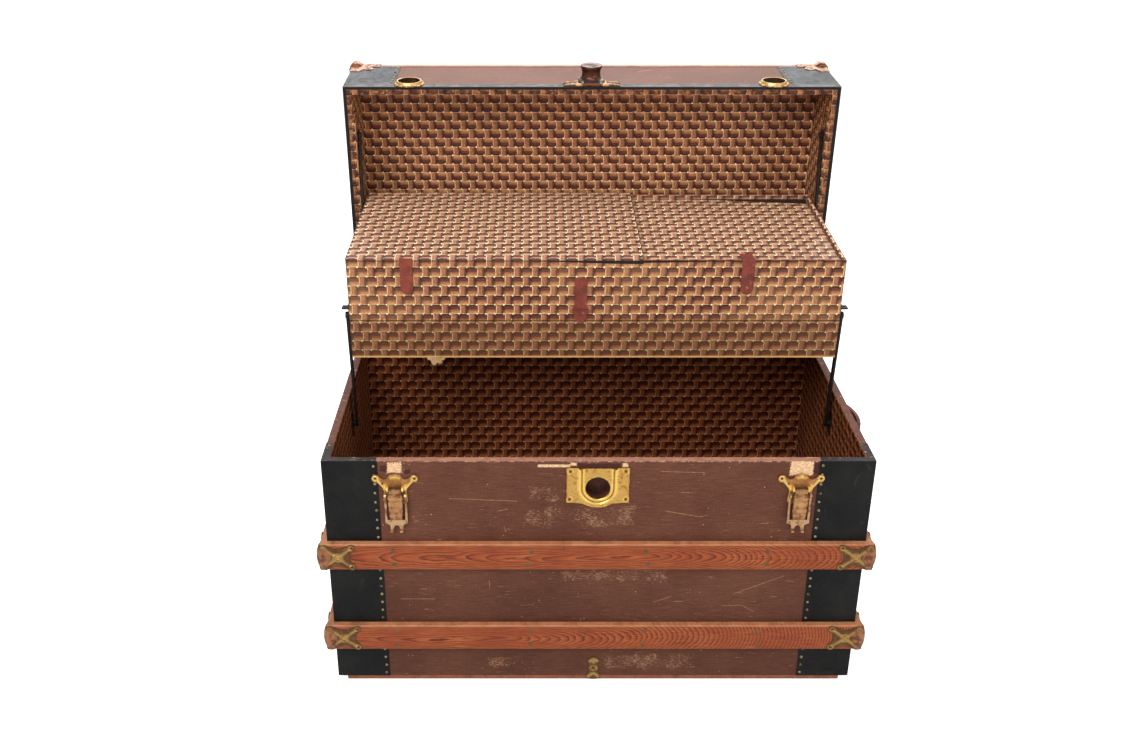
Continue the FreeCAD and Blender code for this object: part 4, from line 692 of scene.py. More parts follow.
coats = {
    "frontCanvas": ["base_front_board"],
    "baseCanvas": ["base_back_board", "base_left_board", "base_right_board", "base_bottom_board"],
    "litLidCanvas": ["lid_back_board", "lid_top_board"],
    "shadedBasePaper": ["base_lining"],
    "lidPaper": ["lid_lining"],
    "lidRimPaper": ["lid_end_strips"],
    "litTrayPaper": ["tray_back_board", "tray_left_end", "tray_right_end", "tray_bottom", "tray_divider",
                  "tray_cleats", "tray_lid_left", "tray_lid_right"],
    "trayFront": ["tray_front_board"],
    "baseBinding": ["base_corner_bindings"],
    "litLidBinding": ["lid_corner_bindings"],
    "frontSlats": ["upper_front_slat", "lower_front_slat"],
    "endSlats": ["left_end_slats", "right_end_slats"],
    "lidSlats": ["lid_slats"],
    "runners": ["bottom_runners"],
    "lockBrass": ["lock_plate"],
    "latchBrass": ["latch_plates"],
    "leverBrass": ["latch_lever_left", "latch_lever_right"],
    "hookBrass": ["latch_hook_left", "latch_hook_right"],
    "ringBrass": ["catch_rings"],
    "palePlate": ["hasp_hinge_plate"],
    "bumperBrass": ["front_bumpers", "back_bumpers", "bottom_clamps"],
    "capBrass": ["lid_corner_caps"],
    "bronze": ["hasp"],
    "rimSteel": ["lid_edge_band"],
    "liftSteel": ["tray_arm_left", "tray_arm_right", "lid_link_left", "lid_link_right", "arm_pivots",
                  "link_pivots", "tray_pivots", "handle_loops"],
    "hingeSteel": ["base_hinge_leaves", "lid_hinge_leaves"],
    "caseSteel": ["lock_case"],
    "strapLeather": ["strap_left", "strap_right", "tray_front_strap"],
    "handleLeather": ["handle_right"],
}
for finish, group in coats.items():
    for name in group:
        nodes[name].data.materials.clear()
        nodes[name].data.materials.append(paint[finish])
        for face in nodes[name].data.polygons:
            face.material_index = 0


# A board that is canvas outside takes paper on the faces that are papered
def coatTwice(name, outside, inside, place, isInside):
    data = nodes[name].data
    data.materials.clear()
    data.materials.append(outside)
    data.materials.append(inside)
    turn = place.inverted().to_3x3()
    for face in data.polygons:
        face.material_index = int(isInside((turn @ face.normal).normalized()))


for side in ("left", "right"):
    coatTwice("lid_%s_board" % side, paint["litLidCanvas"], paint["lidRimPaper"], lidPlace,
              lambda normal: normal.z < -0.7)
coatTwice("lid_front_board", paint["litLidCanvas"], paint["lidRimPaper"], lidPlace,
          lambda normal: normal.z < -0.7 or normal.y > 0.7)
print("finishes on the nodes")


# Takes (across, up, out) in millimetres over one of the trunk's faces to the frame
def seat(place, origin, across=(1, 0, 0), up=(0, 0, 1), out=(0, -1, 0)):
    turn = Matrix((across, up, out)).transposed().to_4x4()
    return place @ Matrix.Translation(origin) @ turn


sharpFrom = math.radians(38.0)      # edges with a wider turn than this stay sharp


# Copies of a shape on its seats, as one piece that rides on a body
def fit(name, shape, seats, material, body, standsFor=()):
    whole = bmesh.new()
    for spot in seats:
        copy = shape.copy()
        copy.transform(spot)
        if spot.determinant() < 0:
            bmesh.ops.reverse_faces(copy, faces=copy.faces)
        single = bpy.data.meshes.new(name)
        copy.to_mesh(single)
        whole.from_mesh(single)
        copy.free()
        bpy.data.meshes.remove(single)
    shape.free()
    mesh = bpy.data.meshes.new(name)
    whole.to_mesh(mesh)
    whole.free()
    mesh.materials.append(paint[material])
    mesh.shade_smooth()
    mesh.set_sharp_from_angle(angle=sharpFrom)
    piece = bpy.data.objects.new(name, mesh)
    bpy.context.scene.collection.objects.link(piece)
    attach(piece, body)
    if standsFor:
        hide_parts(*standsFor)
    return piece


# A closed run through points, rounded between them; a point given twice stays sharp
def rounded(points, steps=5):
    run = []
    count = len(points)
    for n in range(count):
        before, here, there, after = (Vector(points[(n + k) % count]) for k in (-1, 0, 1, 2))
        if here == there:
            continue
        for step in range(steps):
            t = step / steps
            run.append(0.5 * (2 * here + (there - before) * t
                              + (2 * before - 5 * here + 4 * there - after) * t * t
                              + (3 * here - before - 3 * there + after) * t ** 3))
    return [tuple(spot) for spot in run]


def bothSides(half):
    return half + [(-across, up) for across, up in reversed(half) if across]


def circle(across, up, radius, sides=32):
    return [(across + radius * math.cos(2 * math.pi * n / sides),
             up + radius * math.sin(2 * math.pi * n / sides)) for n in range(sides)]


# Sheet metal stamped inside one outline, round any holes: its face rises by a formula
def stamped(loops, rise, step=1.5, foot=0.0):
    build = bmesh.new()
    edges = []
    for loop in loops:
        ring = [build.verts.new((across, up, 0.0)) for across, up in loop]
        edges += [build.edges.new((ring[n - 1], ring[n])) for n in range(len(ring))]
    bmesh.ops.triangle_fill(build, use_beauty=True, use_dissolve=False, edges=edges)
    for axis in (0, 1):
        low = min(vert.co[axis] for vert in build.verts)
        high = max(vert.co[axis] for vert in build.verts)
        cuts = int((high - low) / step)
        for n in range(1, cuts + 1):
            where, normal = Vector(), Vector()
            where[axis] = low + (high - low) * n / (cuts + 1)
            normal[axis] = 1
            bmesh.ops.bisect_plane(build, geom=build.verts[:] + build.edges[:] + build.faces[:],
                                   dist=1e-4, plane_co=where, plane_no=normal)
    for face in build.faces:
        face.normal_update()
        if face.normal.z < 0:
            face.normal_flip()
    for vert in build.verts:
        vert.co.z = rise(vert.co.x, vert.co.y)
    rim = [edge for edge in build.edges if edge.is_boundary]
    walls = bmesh.ops.extrude_edge_only(build, edges=rim)
    for item in walls["geom"]:
        if isinstance(item, bmesh.types.BMVert):
            item.co.z = foot
    bmesh.ops.recalc_face_normals(build, faces=build.faces)
    top = max(build.faces, key=lambda face: face.calc_center_median().z)
    if top.normal.z < 0:
        bmesh.ops.reverse_faces(build, faces=build.faces)
    return build


# Turned on a lathe: radius and height down its profile, about the out axis
def turned(build, profile, across=0.0, up=0.0, sides=48, wave=None):
    rows = []
    for radius, out in profile:
        ring = []
        for n in range(sides):
            angle = 2 * math.pi * n / sides
            reach = radius + (wave(angle, radius) if wave else 0.0)
            ring.append(build.verts.new((across + reach * math.cos(angle),
                                         up + reach * math.sin(angle), out)))
        rows.append(ring)
    for low, high in zip(rows, rows[1:]):
        for n in range(sides):
            build.faces.new((low[n], low[(n + 1) % sides], high[(n + 1) % sides], high[n]))
    return rows


def dome(build, across, up, radius, rise, out=0.0, sides=12):
    steps = [(radius * math.cos(math.pi / 8 * n), out + rise * math.sin(math.pi / 8 * n))
             for n in range(4)]
    rows = turned(build, steps, across, up, sides)
    build.faces.new(rows[-1])


def toSegment(across, up, start, end):
    spot, first, run = Vector((across, up)), Vector(start), Vector(end) - Vector(start)
    share = max(0.0, min(1.0, (spot - first).dot(run) / run.length_squared))
    return (spot - first - run * share).length


def bump(distance, width):
    return math.exp(-(distance / width) ** 2)


nails = {
    "radius": 2.7, "rise": 1.7, "pitch": 17.2, "inset": 6.0,
    "spans": [(-9, -147), (-214, -314), (-382, -434)], "lidSpan": (30, 140),
    "bandRadius": 1.8, "bandRise": 0.9, "bandPitch": 76.0, "bandUp": 12, "bandSpan": (60, 290),
    "slatRadius": 4.2, "slatRise": 0.9, "slatUp": (12, 39), "frontAcross": (-345, -113, 87, 289),
    "endAcross": (-164, 0, 164), "lidAcross": (-380, -130, 130, 380),
}


def row(build, start, end, pitch, radius, rise, shake):
    start, end = Vector(start), Vector(end)
    count = max(2, round((end - start).length / pitch) + 1)
    for n in range(count):
        spot = start.lerp(end, n / (count - 1))
        dome(build, spot.x + shake.uniform(-0.6, 0.6), spot.y + shake.uniform(-0.8, 0.8),
             radius * shake.uniform(0.92, 1.08), rise)


# The nails along each corner binding, then those of the lid's edge band
def bindingNails():
    shake = random.Random(4)
    frontEdge = trunk["halfWidth"] - trunk["bindingFront"] + nails["inset"]
    endEdge = middle - trunk["bindingEnd"] + nails["inset"]
    faces = {
        "front": ((0, -trunk["skin"], 0), (1, 0, 0), (0, -1, 0)),
        "back": ((0, backFace, 0), (1, 0, 0), (0, 1, 0)),
        "left": ((-sideFace, middle, 0), (0, 1, 0), (-1, 0, 0)),
        "right": ((sideFace, middle, 0), (0, 1, 0), (1, 0, 0)),
    }
    lidFoot, lidHead = nails["lidSpan"]
    bandStart, bandEnd = nails["bandSpan"]
    for face, (origin, across, out) in faces.items():
        edge = frontEdge if face in ("front", "back") else endEdge
        build = bmesh.new()
        for side in (-1, 1):
            for top, foot in nails["spans"]:
                row(build, (side * edge, top), (side * edge, foot), nails["pitch"], nails["radius"],
                    nails["rise"], shake)
        fit(face + "_binding_nails", build, [seat(basePlace, origin, across, (0, 0, 1), out)],
            "nailBrass", "base")
        build = bmesh.new()
        for side in (-1, 1):
            row(build, (side * edge, lidFoot), (side * edge, lidHead), nails["pitch"],
                nails["radius"], nails["rise"], shake)
            if face in ("front", "back"):
                row(build, (side * bandStart, nails["bandUp"]), (side * bandEnd, nails["bandUp"]),
                    nails["bandPitch"], nails["bandRadius"], nails["bandRise"], shake)
        fit(face + "_lid_nails", build, [seat(lidPlace, origin, across, (0, 0, 1), out)],
            "nailBrass", "lid")


def slatNails():
    shake = random.Random(9)
    build = bmesh.new()
    for foot in slatFeet:
        for x in nails["frontAcross"]:
            for up in nails["slatUp"]:
                dome(build, x + shake.uniform(-3, 3), foot + up + shake.uniform(-2, 2),
                     nails["slatRadius"], nails["slatRise"])
    fit("front_slat_nails", build, [seat(basePlace, (0, slatFront, 0))], "nailSteel", "base")
    build = bmesh.new()
    for foot in slatFeet:
        for y in nails["endAcross"]:
            for up in nails["slatUp"]:
                dome(build, y + shake.uniform(-3, 3), foot + up, nails["slatRadius"],
                     nails["slatRise"])
    seats = [seat(basePlace, (side * slatSide, middle, 0), (0, 1, 0), (0, 0, 1), (side, 0, 0))
             for side in (-1, 1)]
    fit("end_slat_nails", build, seats, "nailSteel", "base")
    build = bmesh.new()
    for n in range(4):
        foot = trunk["lidSlatFoot"] + n * trunk["lidSlatPitch"]
        for x in nails["lidAcross"]:
            for up in nails["slatUp"]:
                dome(build, x + shake.uniform(-3, 3), foot + up, nails["slatRadius"],
                     nails["slatRise"])
    top = seat(lidPlace, (0, 0, trunk["lidTall"]), (1, 0, 0), (0, 1, 0), (0, 0, 1))
    fit("lid_slat_nails", build, [top], "nailSteel", "lid")


bindingNails()
slatNails()
print("nails driven")


lock = {"hole": -51.0, "bore": 20.5, "ridgeIn": 24.0, "ridgeOut": 30.0, "ridge": 2.0, "thick": 2.3,
        "screws": ((-46, -19), (46, -19), (-47, -72), (47, -72))}


# Scalloped plate with a double ridge that runs round the hole like a horseshoe
def lockFace():
    half = [(24, -13.6), (26, -15.4), (30.5, -15), (33, -12.6), (33, -12.6), (53.5, -12.3),
            (53.5, -12.3), (52.2, -26), (53.2, -38), (51.6, -48), (53.0, -56), (51.8, -64), (53.6, -79),
            (53.6, -79), (43, -78.5), (34, -79.5), (26, -80.5), (16, -85), (6, -87.6)]
    edge = bothSides(half)

    def rise(across, up):
        below = min(0.0, up - lock["hole"])
        reach = math.hypot(across, below)
        face = lock["thick"] + lock["ridge"] * bump(reach - lock["ridgeOut"], 2.4)
        face += 1.5 * bump(reach - lock["ridgeIn"], 1.6)
        face -= 0.9 * bump(reach - 27.2, 1.8)
        hole = math.hypot(across, up - lock["hole"])
        face += 0.7 * bump(hole - 21.8, 1.3) - 0.8 * bump(hole - 20.4, 0.9)
        for x, z in lock["screws"]:
            far = math.hypot(across - x, up - z)
            face += 0.6 * bump(far - 4.4, 1.2) - 0.9 * bump(far, 2.6)
        return face - 0.6 * bump(abs(across) - 54.0, 2.0)

    loops = [rounded(edge), circle(0, lock["hole"], lock["bore"], 48)]
    fit("lock_face", stamped(loops, rise, 1.3, 0.05), [seat(basePlace, (0, 0, 0))], "lockBrass",
        "base", ["lock_plate"])
    build = bmesh.new()
    for x, z in lock["screws"]:
        dome(build, x, z, 2.6, 0.8, lock["thick"] - 1.0)
    fit("lock_screws", build, [seat(basePlace, (0, 0, 0))], "screwSteel", "base")


lockFace()

latch = {"pinOut": 8.5, "pinDown": -50.0, "hookDown": -62.0, "plate": 1.75, "ear": (32.4, -32.0),
         "barrel": (16.6, -50.5), "spareScrew": (-21.5, -42.0), "leverHalf": 12.6}
latchSides = {"left": -catch["middle"], "right": catch["middle"]}


# Raised work over the latch plates: ears with screws, a crown and two ribs down to the pin's lugs
def latchFaces():
    half = [(9, -25.4), (13.6, -33.2), (19, -34.4), (24.6, -31), (28, -25.6), (33, -25), (37.4, -28.4),
            (38.2, -34), (35, -38.8), (29, -40.4), (18.7, -53), (20.2, -70), (20, -76), (14, -80.3),
            (8, -80.3)]
    edge = bothSides([(3.5, -23.6)] + half)
    earOut, earUp = latch["ear"]
    barrelOut, barrelUp = latch["barrel"]

    def rise(across, up):
        side = abs(across)
        face = latch["plate"]
        ear = math.hypot(side - earOut, up - earUp)
        face += 1.5 * bump(ear - 4.0, 1.3) - 0.5 * bump(ear, 2.0)
        face += 1.5 * bump(toSegment(side, up, (28, -36), (17.4, -52)), 1.8)
        face += 1.3 * bump(toSegment(side, up, (17.4, -52), (17.0, -76)), 1.6)
        face += 1.9 * bump(math.hypot(across, up + 29), 3.4)
        face += 1.3 * bump(math.hypot(side - 6.0, up + 31), 2.4)
        face += 1.8 * bump(math.hypot(side - 17, up + 46), 2.6)
        return face

    seats = [seat(basePlace, (x, -trunk["skin"], 0)) for x in latchSides.values()]
    fit("latch_faces", stamped([rounded(edge, 3)], rise, 1.3, 1.55), seats, "latchBrass", "base")
    build = bmesh.new()
    for x in (-earOut, earOut):
        dome(build, x, earUp, 2.6, 0.9, 1.6)
    dome(build, *latch["spareScrew"], 2.4, 0.7, 1.9)
    fit("latch_screws", build, seats, "screwSteel", "base")
    # the bright ends of the lever's barrel, held in the lugs
    build = bmesh.new()
    profile = [(0.6, 6.2), (2.0, 6.0), (3.3, 4.6), (3.8, 2.2), (3.9, 0.2)]
    for side in (-1, 1):
        turned(build, profile, side * barrelOut, barrelUp, 16)
    fit("latch_barrel_ends", build, seats, "latchBrass", "base")


# The levers' bowed faces: a rolled head, a waist and a lip to lift them by
def leverFaces():
    half = [(9.9, 3.2), (10.5, 0), (10.4, -5), (11.9, -9.5), (12.2, -16), (12.0, -26), (12.1, -38),
            (11.4, -47), (10.4, -53.4), (9.2, -55.4), (9.2, -55.4)]
    edge = bothSides(half)
    front = [(3.4, 2.6), (0, 3.6), (-12, 4.1), (-32, 4.5), (-48, 3.7), (-56, 2.9)]

    def rise(across, up):
        for (high, first), (low, second) in zip(front, front[1:]):
            if up >= low:
                face = first + (second - first) * (high - up) / (high - low)
                break
        else:
            face = front[-1][1]
        face += 1.6 * (1 - (across / latch["leverHalf"]) ** 2)
        face += 0.2 * bump(up + 1, 2.2) - 1.1 * bump(up + 7, 2.2)
        face += 0.9 * bump(up + 15, 2.0) - 0.5 * bump(up + 19.5, 1.8)
        face += 0.7 * bump(abs(across) - 9.4, 1.1) * bump(min(0.0, up + 22), 30)
        face -= 0.8 * bump(up + 33, 2.4) + 0.6 * bump(up + 43, 2.0)
        return face + 0.9 * bump(up + 53.5, 1.8)

    for side, x in latchSides.items():
        spot = seat(basePlace, (x, -latch["pinOut"], latch["pinDown"]))
        fit("lever_face_" + side, stamped([rounded(edge, 3)], rise, 1.3, 1.0), [spot], "leverBrass",
            "latch_lever_" + side)


# The hooks' forked feet, with an arch between the prongs
def forkFaces():
    half = [(18.6, -46.5), (18.6, -46.5), (18.6, -52), (14.8, -54.6), (11.2, -57), (10.6, -62),
            (10.5, -67.6), (10.5, -67.6), (5.4, -67.6), (5.4, -67.6), (5.2, -63), (3.6, -58.8),
            (1.4, -57.2)]
    edge = bothSides(half)
    rail = [corner for corner in ((18.7, -2), (18.7, -47), (15.1, -47), (15.1, -2)) for _ in (0, 1)]

    def rise(across, up):
        side = abs(across)
        face = 0.1 + 0.3 * bump(toSegment(side, up, (17, -48.5), (8, -56)), 1.4)
        return min(0.38, face + 0.3 * bump(toSegment(side, up, (8, -56), (8, -67)), 1.3))

    def railRise(across, up):
        return 0.1 + 0.7 * bump(across - 16.9, 1.1)

    for side, x in latchSides.items():
        spot = seat(basePlace, (x, -latch["pinOut"], latch["hookDown"]))
        fit("fork_face_" + side, stamped([rounded(edge, 3)], rise, 1.2, -3.2), [spot], "hookBrass",
            "latch_hook_" + side)
        across = spot @ Matrix.Scale(-1, 4, (1, 0, 0))
        fit("hook_rails_" + side, stamped([rounded(rail, 3)], railRise, 1.2, -0.6), [spot, across],
            "hookBrass", "latch_hook_" + side)


latchFaces()
leverFaces()
forkFaces()
print("lock and latches dressed")


# Deep collars on a flange of beads, which the forks hook into
def catchCollars():
    build = bmesh.new()
    profile = [(20.5, 1.05), (20.5, 7.4), (21.2, 7.9), (22.3, 7.9), (23.0, 7.2), (23.4, 4.6),
               (24.4, 3.2), (27.6, 2.6), (29.0, 1.9), (29.0, 1.05)]

    def scallop(angle, radius):
        depth = catch["scallop"] if radius > catch["flange"] else 0.0
        return depth * math.cos(catch["beads"] * angle) - depth

    turned(build, profile, sides=120, wave=scallop)
    for n in range(catch["beads"]):
        angle = 2 * math.pi * n / catch["beads"]
        dome(build, catch["beadRing"] * math.cos(angle), catch["beadRing"] * math.sin(angle),
             2.3, 2.6, 2.2, 10)
    seats = [seat(lidPlace, (x, 0, catch["up"])) for x in latchSides.values()]
    fit("catch_collars", build, seats, "ringBrass", "lid", ["catch_rings"])


haspUp = 44.6       # the plug's middle, up from the lid's edge


# The turned plug that enters the lock, the clip that carries it and the crest on its hinge plate
def haspPlug():
    build = bmesh.new()
    profile = [(21.4, 5.2), (21.2, 6.1), (20.2, 6.9), (18.6, 7.8), (17.4, 10.6), (16.9, 15),
               (17.1, 19), (18.0, 23), (19.4, 26), (20.2, 27.6), (20.2, 28.8), (19.0, 29.6),
               (16.0, 29.7), (13.5, 28.8), (6.0, 28.2), (0.3, 28.2)]
    turned(build, profile, 0, haspUp, 64)
    fit("hasp_plug_face", build, [seat(lidPlace, (0, 0, 0))], "bronze", "hasp")
    clip = [(17.8, -2.0), (18.6, 6), (19.4, 14), (20.8, 20), (20.8, 20), (12, 21.6), (4, 22)]

    def rise(across, up):
        side = abs(across)
        face = 6.2 + 1.1 * bump(side - 14.8, 1.8) + 0.8 * bump(up - 18, 1.8) + 0.8 * bump(up - 1.5, 1.6)
        slot = max(side - 8.0, abs(up - 9.0) - 2.6, 0.0)
        return min(face, 7.2) - 1.1 * bump(slot, 0.9)

    fit("hasp_clip", stamped([rounded(bothSides(clip), 3)], rise, 1.2, 5.0),
        [seat(lidPlace, (0, 0, 0))], "clipSteel", "hasp")


def haspCrest():
    half = [(26, 36.2), (36.4, 32.2), (44, 27.5), (52.4, 22.4), (50.4, 17), (46.4, 12), (50, 6),
            (52.4, 1.2), (52.4, 1.2)]
    edge = bothSides(half)

    def rise(across, up):
        side = abs(across)
        face = 3.05 + 1.6 * bump(toSegment(side, up, (26, 30), (47, 21)), 2.2)
        face += 1.4 * bump(toSegment(side, up, (28, 6), (48, 5)), 2.0)
        face += 1.8 * bump(math.hypot(side - 45, up - 21), 3.0)
        face += 1.6 * bump(math.hypot(side - 34, up - 14), 3.4) + 1.2 * bump(side - 25.5, 1.4)
        return face

    fit("hasp_crest", stamped([rounded(edge, 3)], rise, 1.4, 2.9), [seat(lidPlace, (0, 0, 0))],
        "palePlate", "lid")


catchCollars()
haspPlug()
haspCrest()
print("lid hardware dressed")


bumper = {"long": 60.0, "short": 44.0, "rollIn": 6.3}


# One stamped arm from the corner: four lobes with screws, joined by an X of ribs
def bumperArm(reach):
    k = reach / bumper["long"]
    level = trunk["slatTall"] / 2
    half = [(60.0, 45.5), (57.5, 50.2), (51, 50.4), (44, 46.4), (34, 42.6), (25, 42.8), (16, 46.8),
            (9, 50.6), (3, 50.4), (-1.2, 49.5), (-1.2, 49.5)]
    upper = [(across * k if across > 0 else across, up) for across, up in half]
    lower = [(across, trunk["slatTall"] - up) for across, up in reversed(upper)]
    inner = [(58.5 * k, 10.6), (53 * k, 16), (50 * k, level), (53 * k, 35), (58.5 * k, 40.4)]
    lobes = [(6 * k, 6.4), (6 * k, 44.6), (53.6 * k, 6.6), (53.6 * k, 44.4)]
    heart = (30 * k, level)

    def rise(across, up):
        face = 1.25
        for lobe in lobes:
            face += 1.9 * bump(toSegment(across, up, lobe, heart), 2.4)
            far = math.hypot(across - lobe[0], up - lobe[1])
            face += 1.5 * bump(far - 3.9, 1.2) - 2.2 * bump(far, 2.3)
        face = min(face, 3.9)
        face += 1.3 * bump(math.hypot(across - heart[0], up - heart[1]) - 7.5, 1.6)
        return face + 0.9 * bump(across - 16 * k, 2.0) * bump(up - level, 9.0)

    return stamped([rounded(upper + lower + inner, 4)], rise, 1.6, 0.02), lobes


def bumpers():
    for ends, y, out in (("front", slatFront, -1), ("back", backFace, 1)):
        longSeats, shortSeats, rolls = [], [], []
        for side in (-1, 1):
            for foot in slatFeet:
                corner = (side * slatSide, y, foot)
                longSeats.append(seat(basePlace, corner, (-side, 0, 0), (0, 0, 1), (0, out, 0)))
                shortSeats.append(seat(basePlace, corner, (0, -out, 0), (0, 0, 1), (side, 0, 0)))
                core = (side * (slatSide - bumper["rollIn"]), y - out * bumper["rollIn"], foot)
                rolls.append(seat(basePlace, core, (1, 0, 0), (0, 1, 0), (0, 0, 1)))
        arm, lobes = bumperArm(bumper["long"])
        fit(ends + "_bumper_faces", arm, longSeats, "bumperBrass", "base", [ends + "_bumpers"])
        shortArm, shortLobes = bumperArm(bumper["short"])
        fit(ends + "_bumper_returns", shortArm, shortSeats, "bumperBrass", "base")
        # the rolled corner, which takes the knocks
        build = bmesh.new()
        profile = [(1.0, 2.5), (7.6, 3.0), (9.8, 6.0), (11.6, 11), (12.8, 18), (13.2, 25.5), (12.8, 33),
                   (11.6, 40), (9.8, 45), (7.6, 48), (1.0, 48.5)]
        turned(build, profile, sides=32)
        fit(ends + "_bumper_rolls", build, rolls, "rollBrass", "base")
        for tag, spots, seats in (("", lobes, longSeats), ("_return", shortLobes, shortSeats)):
            build = bmesh.new()
            for across, up in spots:
                dome(build, across, up, 2.2, 0.9, 1.1)
            fit(ends + tag + "_bumper_screws", build, seats, "screwSteel", "base")


# A clamp's outline is measured from a place this far up from the floor, and its hole and boss from there
clamp = {"up": 10.0, "hole": 17.0, "boss": 29.0}


def clamps():
    half = [(2, 40.2), (6.4, 38.8), (8.6, 35.2), (10.3, 32.4), (8.4, 28.4), (7.2, 24.6), (8.8, 20),
            (8.6, 14), (7.0, 9.6), (9.0, 5.2), (11.6, 0.6), (11.4, -4.4), (7.6, -6.2), (3.4, -7.8)]

    def rise(across, up):
        side = abs(across)
        hole = math.hypot(across, up - clamp["hole"])
        face = 1.4 + 1.2 * bump(hole - 5.0, 1.6) - 1.2 * bump(hole, 2.4)
        face += 1.4 * bump(toSegment(side, up, (0, 36), (6.5, 33)), 2.0)
        face += 1.6 * bump(toSegment(side, up, (0, 6), (8.5, -1)), 2.2)
        return face + 1.2 * bump(math.hypot(across, up - clamp["boss"]), 3.0)

    foot = clamp["up"] - trunk["rimUp"]
    seats = [seat(basePlace, (0, 0, foot)),
             seat(basePlace, (0, trunk["depth"], foot), (-1, 0, 0), (0, 0, 1), (0, 1, 0))]
    fit("clamp_faces", stamped([rounded(bothSides(half), 4)], rise, 1.2, 0.02), seats, "clampBrass",
        "base", ["bottom_clamps"])


bumpers()
clamps()
print("corners dressed")


# Small nails through the lid's corner caps, and the hinge leaves' screws
def smallNails():
    build = bmesh.new()
    for along, over in ((9, 9), (46, 9), (9, 46), (30, 30)):
        dome(build, along, over, 2.4, 1.1, 1.2)
    seats = []
    for side in (-1, 1):
        for y, deep in ((-trunk["skin"], 1), (backFace, -1)):
            corner = (side * sideFace, y, trunk["lidTall"])
            seats.append(seat(lidPlace, corner, (-side, 0, 0), (0, deep, 0), (0, 0, 1)))
            seats.append(seat(lidPlace, corner, (-side, 0, 0), (0, 0, -1), (0, -deep, 0)))
            seats.append(seat(lidPlace, corner, (0, deep, 0), (0, 0, -1), (side, 0, 0)))
    fit("cap_nails", build, seats, "capBrass", "lid")
    lidPin = -hinge["down"] - hinge["rimGap"]
    for body, place, y, pin, way in (("base", basePlace, backFace + 1, -hinge["down"], -1),
                                     ("lid", lidPlace, backFace + 2, lidPin, 1)):
        build = bmesh.new()
        for across in (-22, 22):
            for up in (16, 46):
                dome(build, across, up * way, 3.0, 1.0)
        seats = [seat(place, (x, y, pin), (-1, 0, 0), (0, 0, 1), (0, 1, 0)) for x in hinge["across"]]
        fit(body + "_hinge_screws", build, seats, "screwSteel", body)


strapStud = (262, 136)      # across the tray and up from its underside


# The stud of the right strap, and a scrap of torn paper that hangs from the tray's front edge
def trayScraps():
    scrap = [(-294, 1.5), (-268, 1.5), (-266, -4), (-271, -6), (-270, -11), (-276, -13), (-279, -10),
             (-284, -16), (-289, -13), (-291, -6), (-296, -4)]

    def curl(across, up):
        return 0.7 - 0.004 * min(0.0, up) ** 2 + 0.5 * math.sin(across * 0.35)

    fit("torn_scrap", stamped([rounded(scrap, 3)], curl, 2.0, 0.1), [seat(trayPlace, (0, 0, 0))],
        "tornPaper", "tray")
    build = bmesh.new()
    dome(build, *strapStud, 3.0, 1.6, 2.8, 16)
    fit("strap_stud", build, [seat(trayPlace, (0, 0, 0))], "latchBrass", "tray_lid_right")


smallNails()
trayScraps()
print("small fittings on")


# Each light: its power, its size, where it stands and what it is turned to, in metres
stage = {
    "floor": (0.92, 0.92, 0.92), "floorHalf": 9.0, "floorDown": 0.0005, "floorGlow": 0.8,
    "world": 0.38,
    "lights": {
        "key_light": (80.0, (2.2, 1.6), (-1.3, -2.3, 2.7), (0, 0, 0.4)),
        "fill_light": (30.0, (2.2, 1.8), (2.4, -2.0, 1.5), (0, 0, 0.4)),
        "top_light": (26.0, (2.4, 1.4), (0.2, -0.2, 2.9), (0, 0, 0.4)),
        "back_light": (62.0, (3.4, 1.6), (0.0, 2.7, 2.4), (0, 0, 0.7)),
    },
}


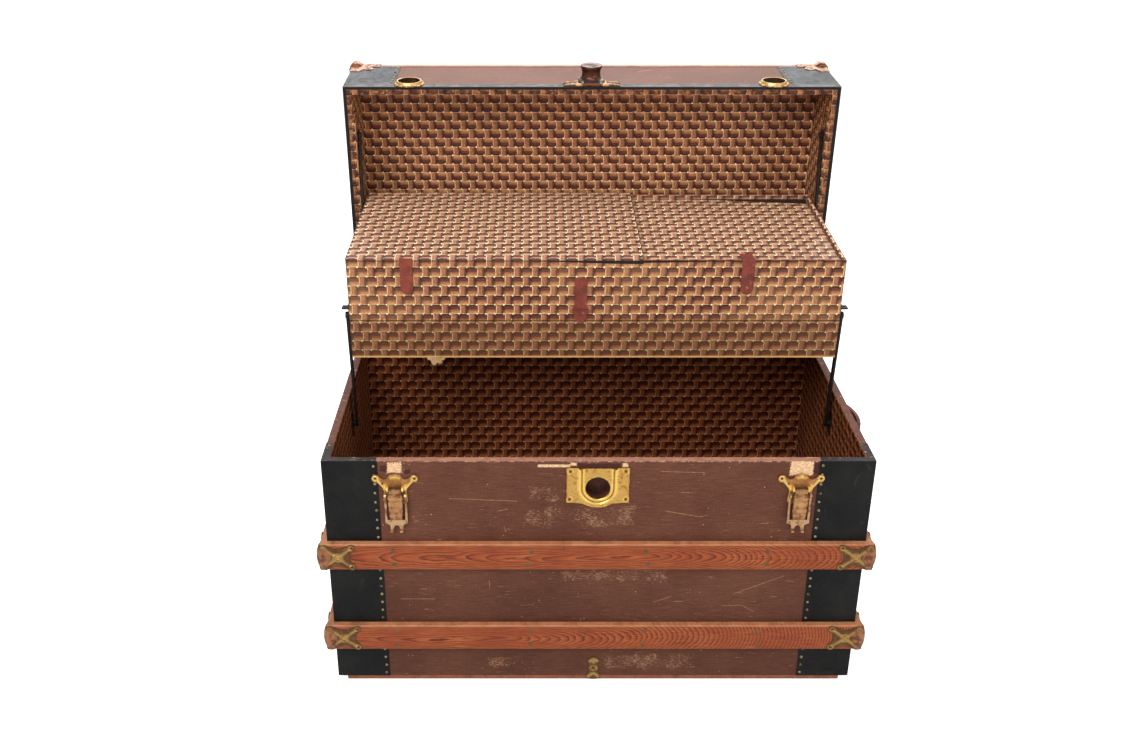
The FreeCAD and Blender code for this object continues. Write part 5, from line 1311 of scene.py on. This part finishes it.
# The floor is seen as white, and still takes the trunk's shadow
def whiteFloor():
    mesh = bpy.data.meshes.new("floor")
    build = bmesh.new()
    half = stage["floorHalf"]
    corners = [build.verts.new((x * half, y * half, -stage["floorDown"]))
               for x, y in ((-1, -1), (1, -1), (1, 1), (-1, 1))]
    build.faces.new(corners)
    build.to_mesh(mesh)
    build.free()
    floor = bpy.data.objects.new("floor", mesh)
    bpy.context.scene.collection.objects.link(floor)
    material = bpy.data.materials.new("floor_white")
    material.use_nodes = True
    tree = material.node_tree
    shader = tree.nodes["Principled BSDF"]
    shader.inputs["Base Color"].default_value = (*stage["floor"], 1)
    shader.inputs["Roughness"].default_value = 0.9
    path = tree.nodes.new("ShaderNodeLightPath")
    glow = tree.nodes.new("ShaderNodeEmission")
    glow.inputs["Strength"].default_value = stage["floorGlow"]
    seen = tree.nodes.new("ShaderNodeAddShader")
    choose = tree.nodes.new("ShaderNodeMixShader")
    tree.links.new(shader.outputs[0], seen.inputs[0])
    tree.links.new(glow.outputs[0], seen.inputs[1])
    tree.links.new(path.outputs["Is Camera Ray"], choose.inputs[0])
    tree.links.new(shader.outputs[0], choose.inputs[1])
    tree.links.new(seen.outputs[0], choose.inputs[2])
    tree.links.new(choose.outputs[0], tree.nodes["Material Output"].inputs[0])
    mesh.materials.append(material)


def softbox(name, power, size, location, target):
    light = bpy.data.lights.new(name, "AREA")
    light.energy = power
    light.shape = "RECTANGLE"
    light.size, light.size_y = size
    lamp = bpy.data.objects.new(name, light)
    bpy.context.scene.collection.objects.link(lamp)
    lamp.location = location
    lamp.visible_camera = False
    lamp.rotation_euler = (Vector(target) - Vector(location)).to_track_quat("-Z", "Y").to_euler()


def studio():
    world = bpy.data.worlds.new("studio")
    bpy.context.scene.world = world
    world.use_nodes = True
    tree = world.node_tree
    plain = tree.nodes["Background"]
    plain.inputs["Color"].default_value = (1, 1, 1, 1)
    plain.inputs["Strength"].default_value = stage["world"]
    white = tree.nodes.new("ShaderNodeBackground")
    white.inputs["Color"].default_value = (1, 1, 1, 1)
    white.inputs["Strength"].default_value = 1.0
    path = tree.nodes.new("ShaderNodeLightPath")
    choose = tree.nodes.new("ShaderNodeMixShader")
    tree.links.new(path.outputs["Is Camera Ray"], choose.inputs[0])
    tree.links.new(plain.outputs[0], choose.inputs[1])
    tree.links.new(white.outputs[0], choose.inputs[2])
    tree.links.new(choose.outputs[0], tree.nodes["World Output"].inputs[0])


whiteFloor()
for name, light in stage["lights"].items():
    softbox(name, *light)
studio()

cameraView = {"location": (-0.1046, -2.010, 1.436), "pitch": 25.4, "lens": 38.73, "shift": 32 / 1134}
lens = bpy.data.cameras.new("camera")
lens.lens = cameraView["lens"]
lens.sensor_width = 36
lens.shift_x = cameraView["shift"]
camera = bpy.data.objects.new("camera", lens)
bpy.context.scene.collection.objects.link(camera)
camera.location = cameraView["location"]
camera.rotation_euler = (math.radians(90 - cameraView["pitch"]), 0, 0)
bpy.context.scene.camera = camera
bpy.context.scene.view_settings.view_transform = "Standard"
print("stage set")
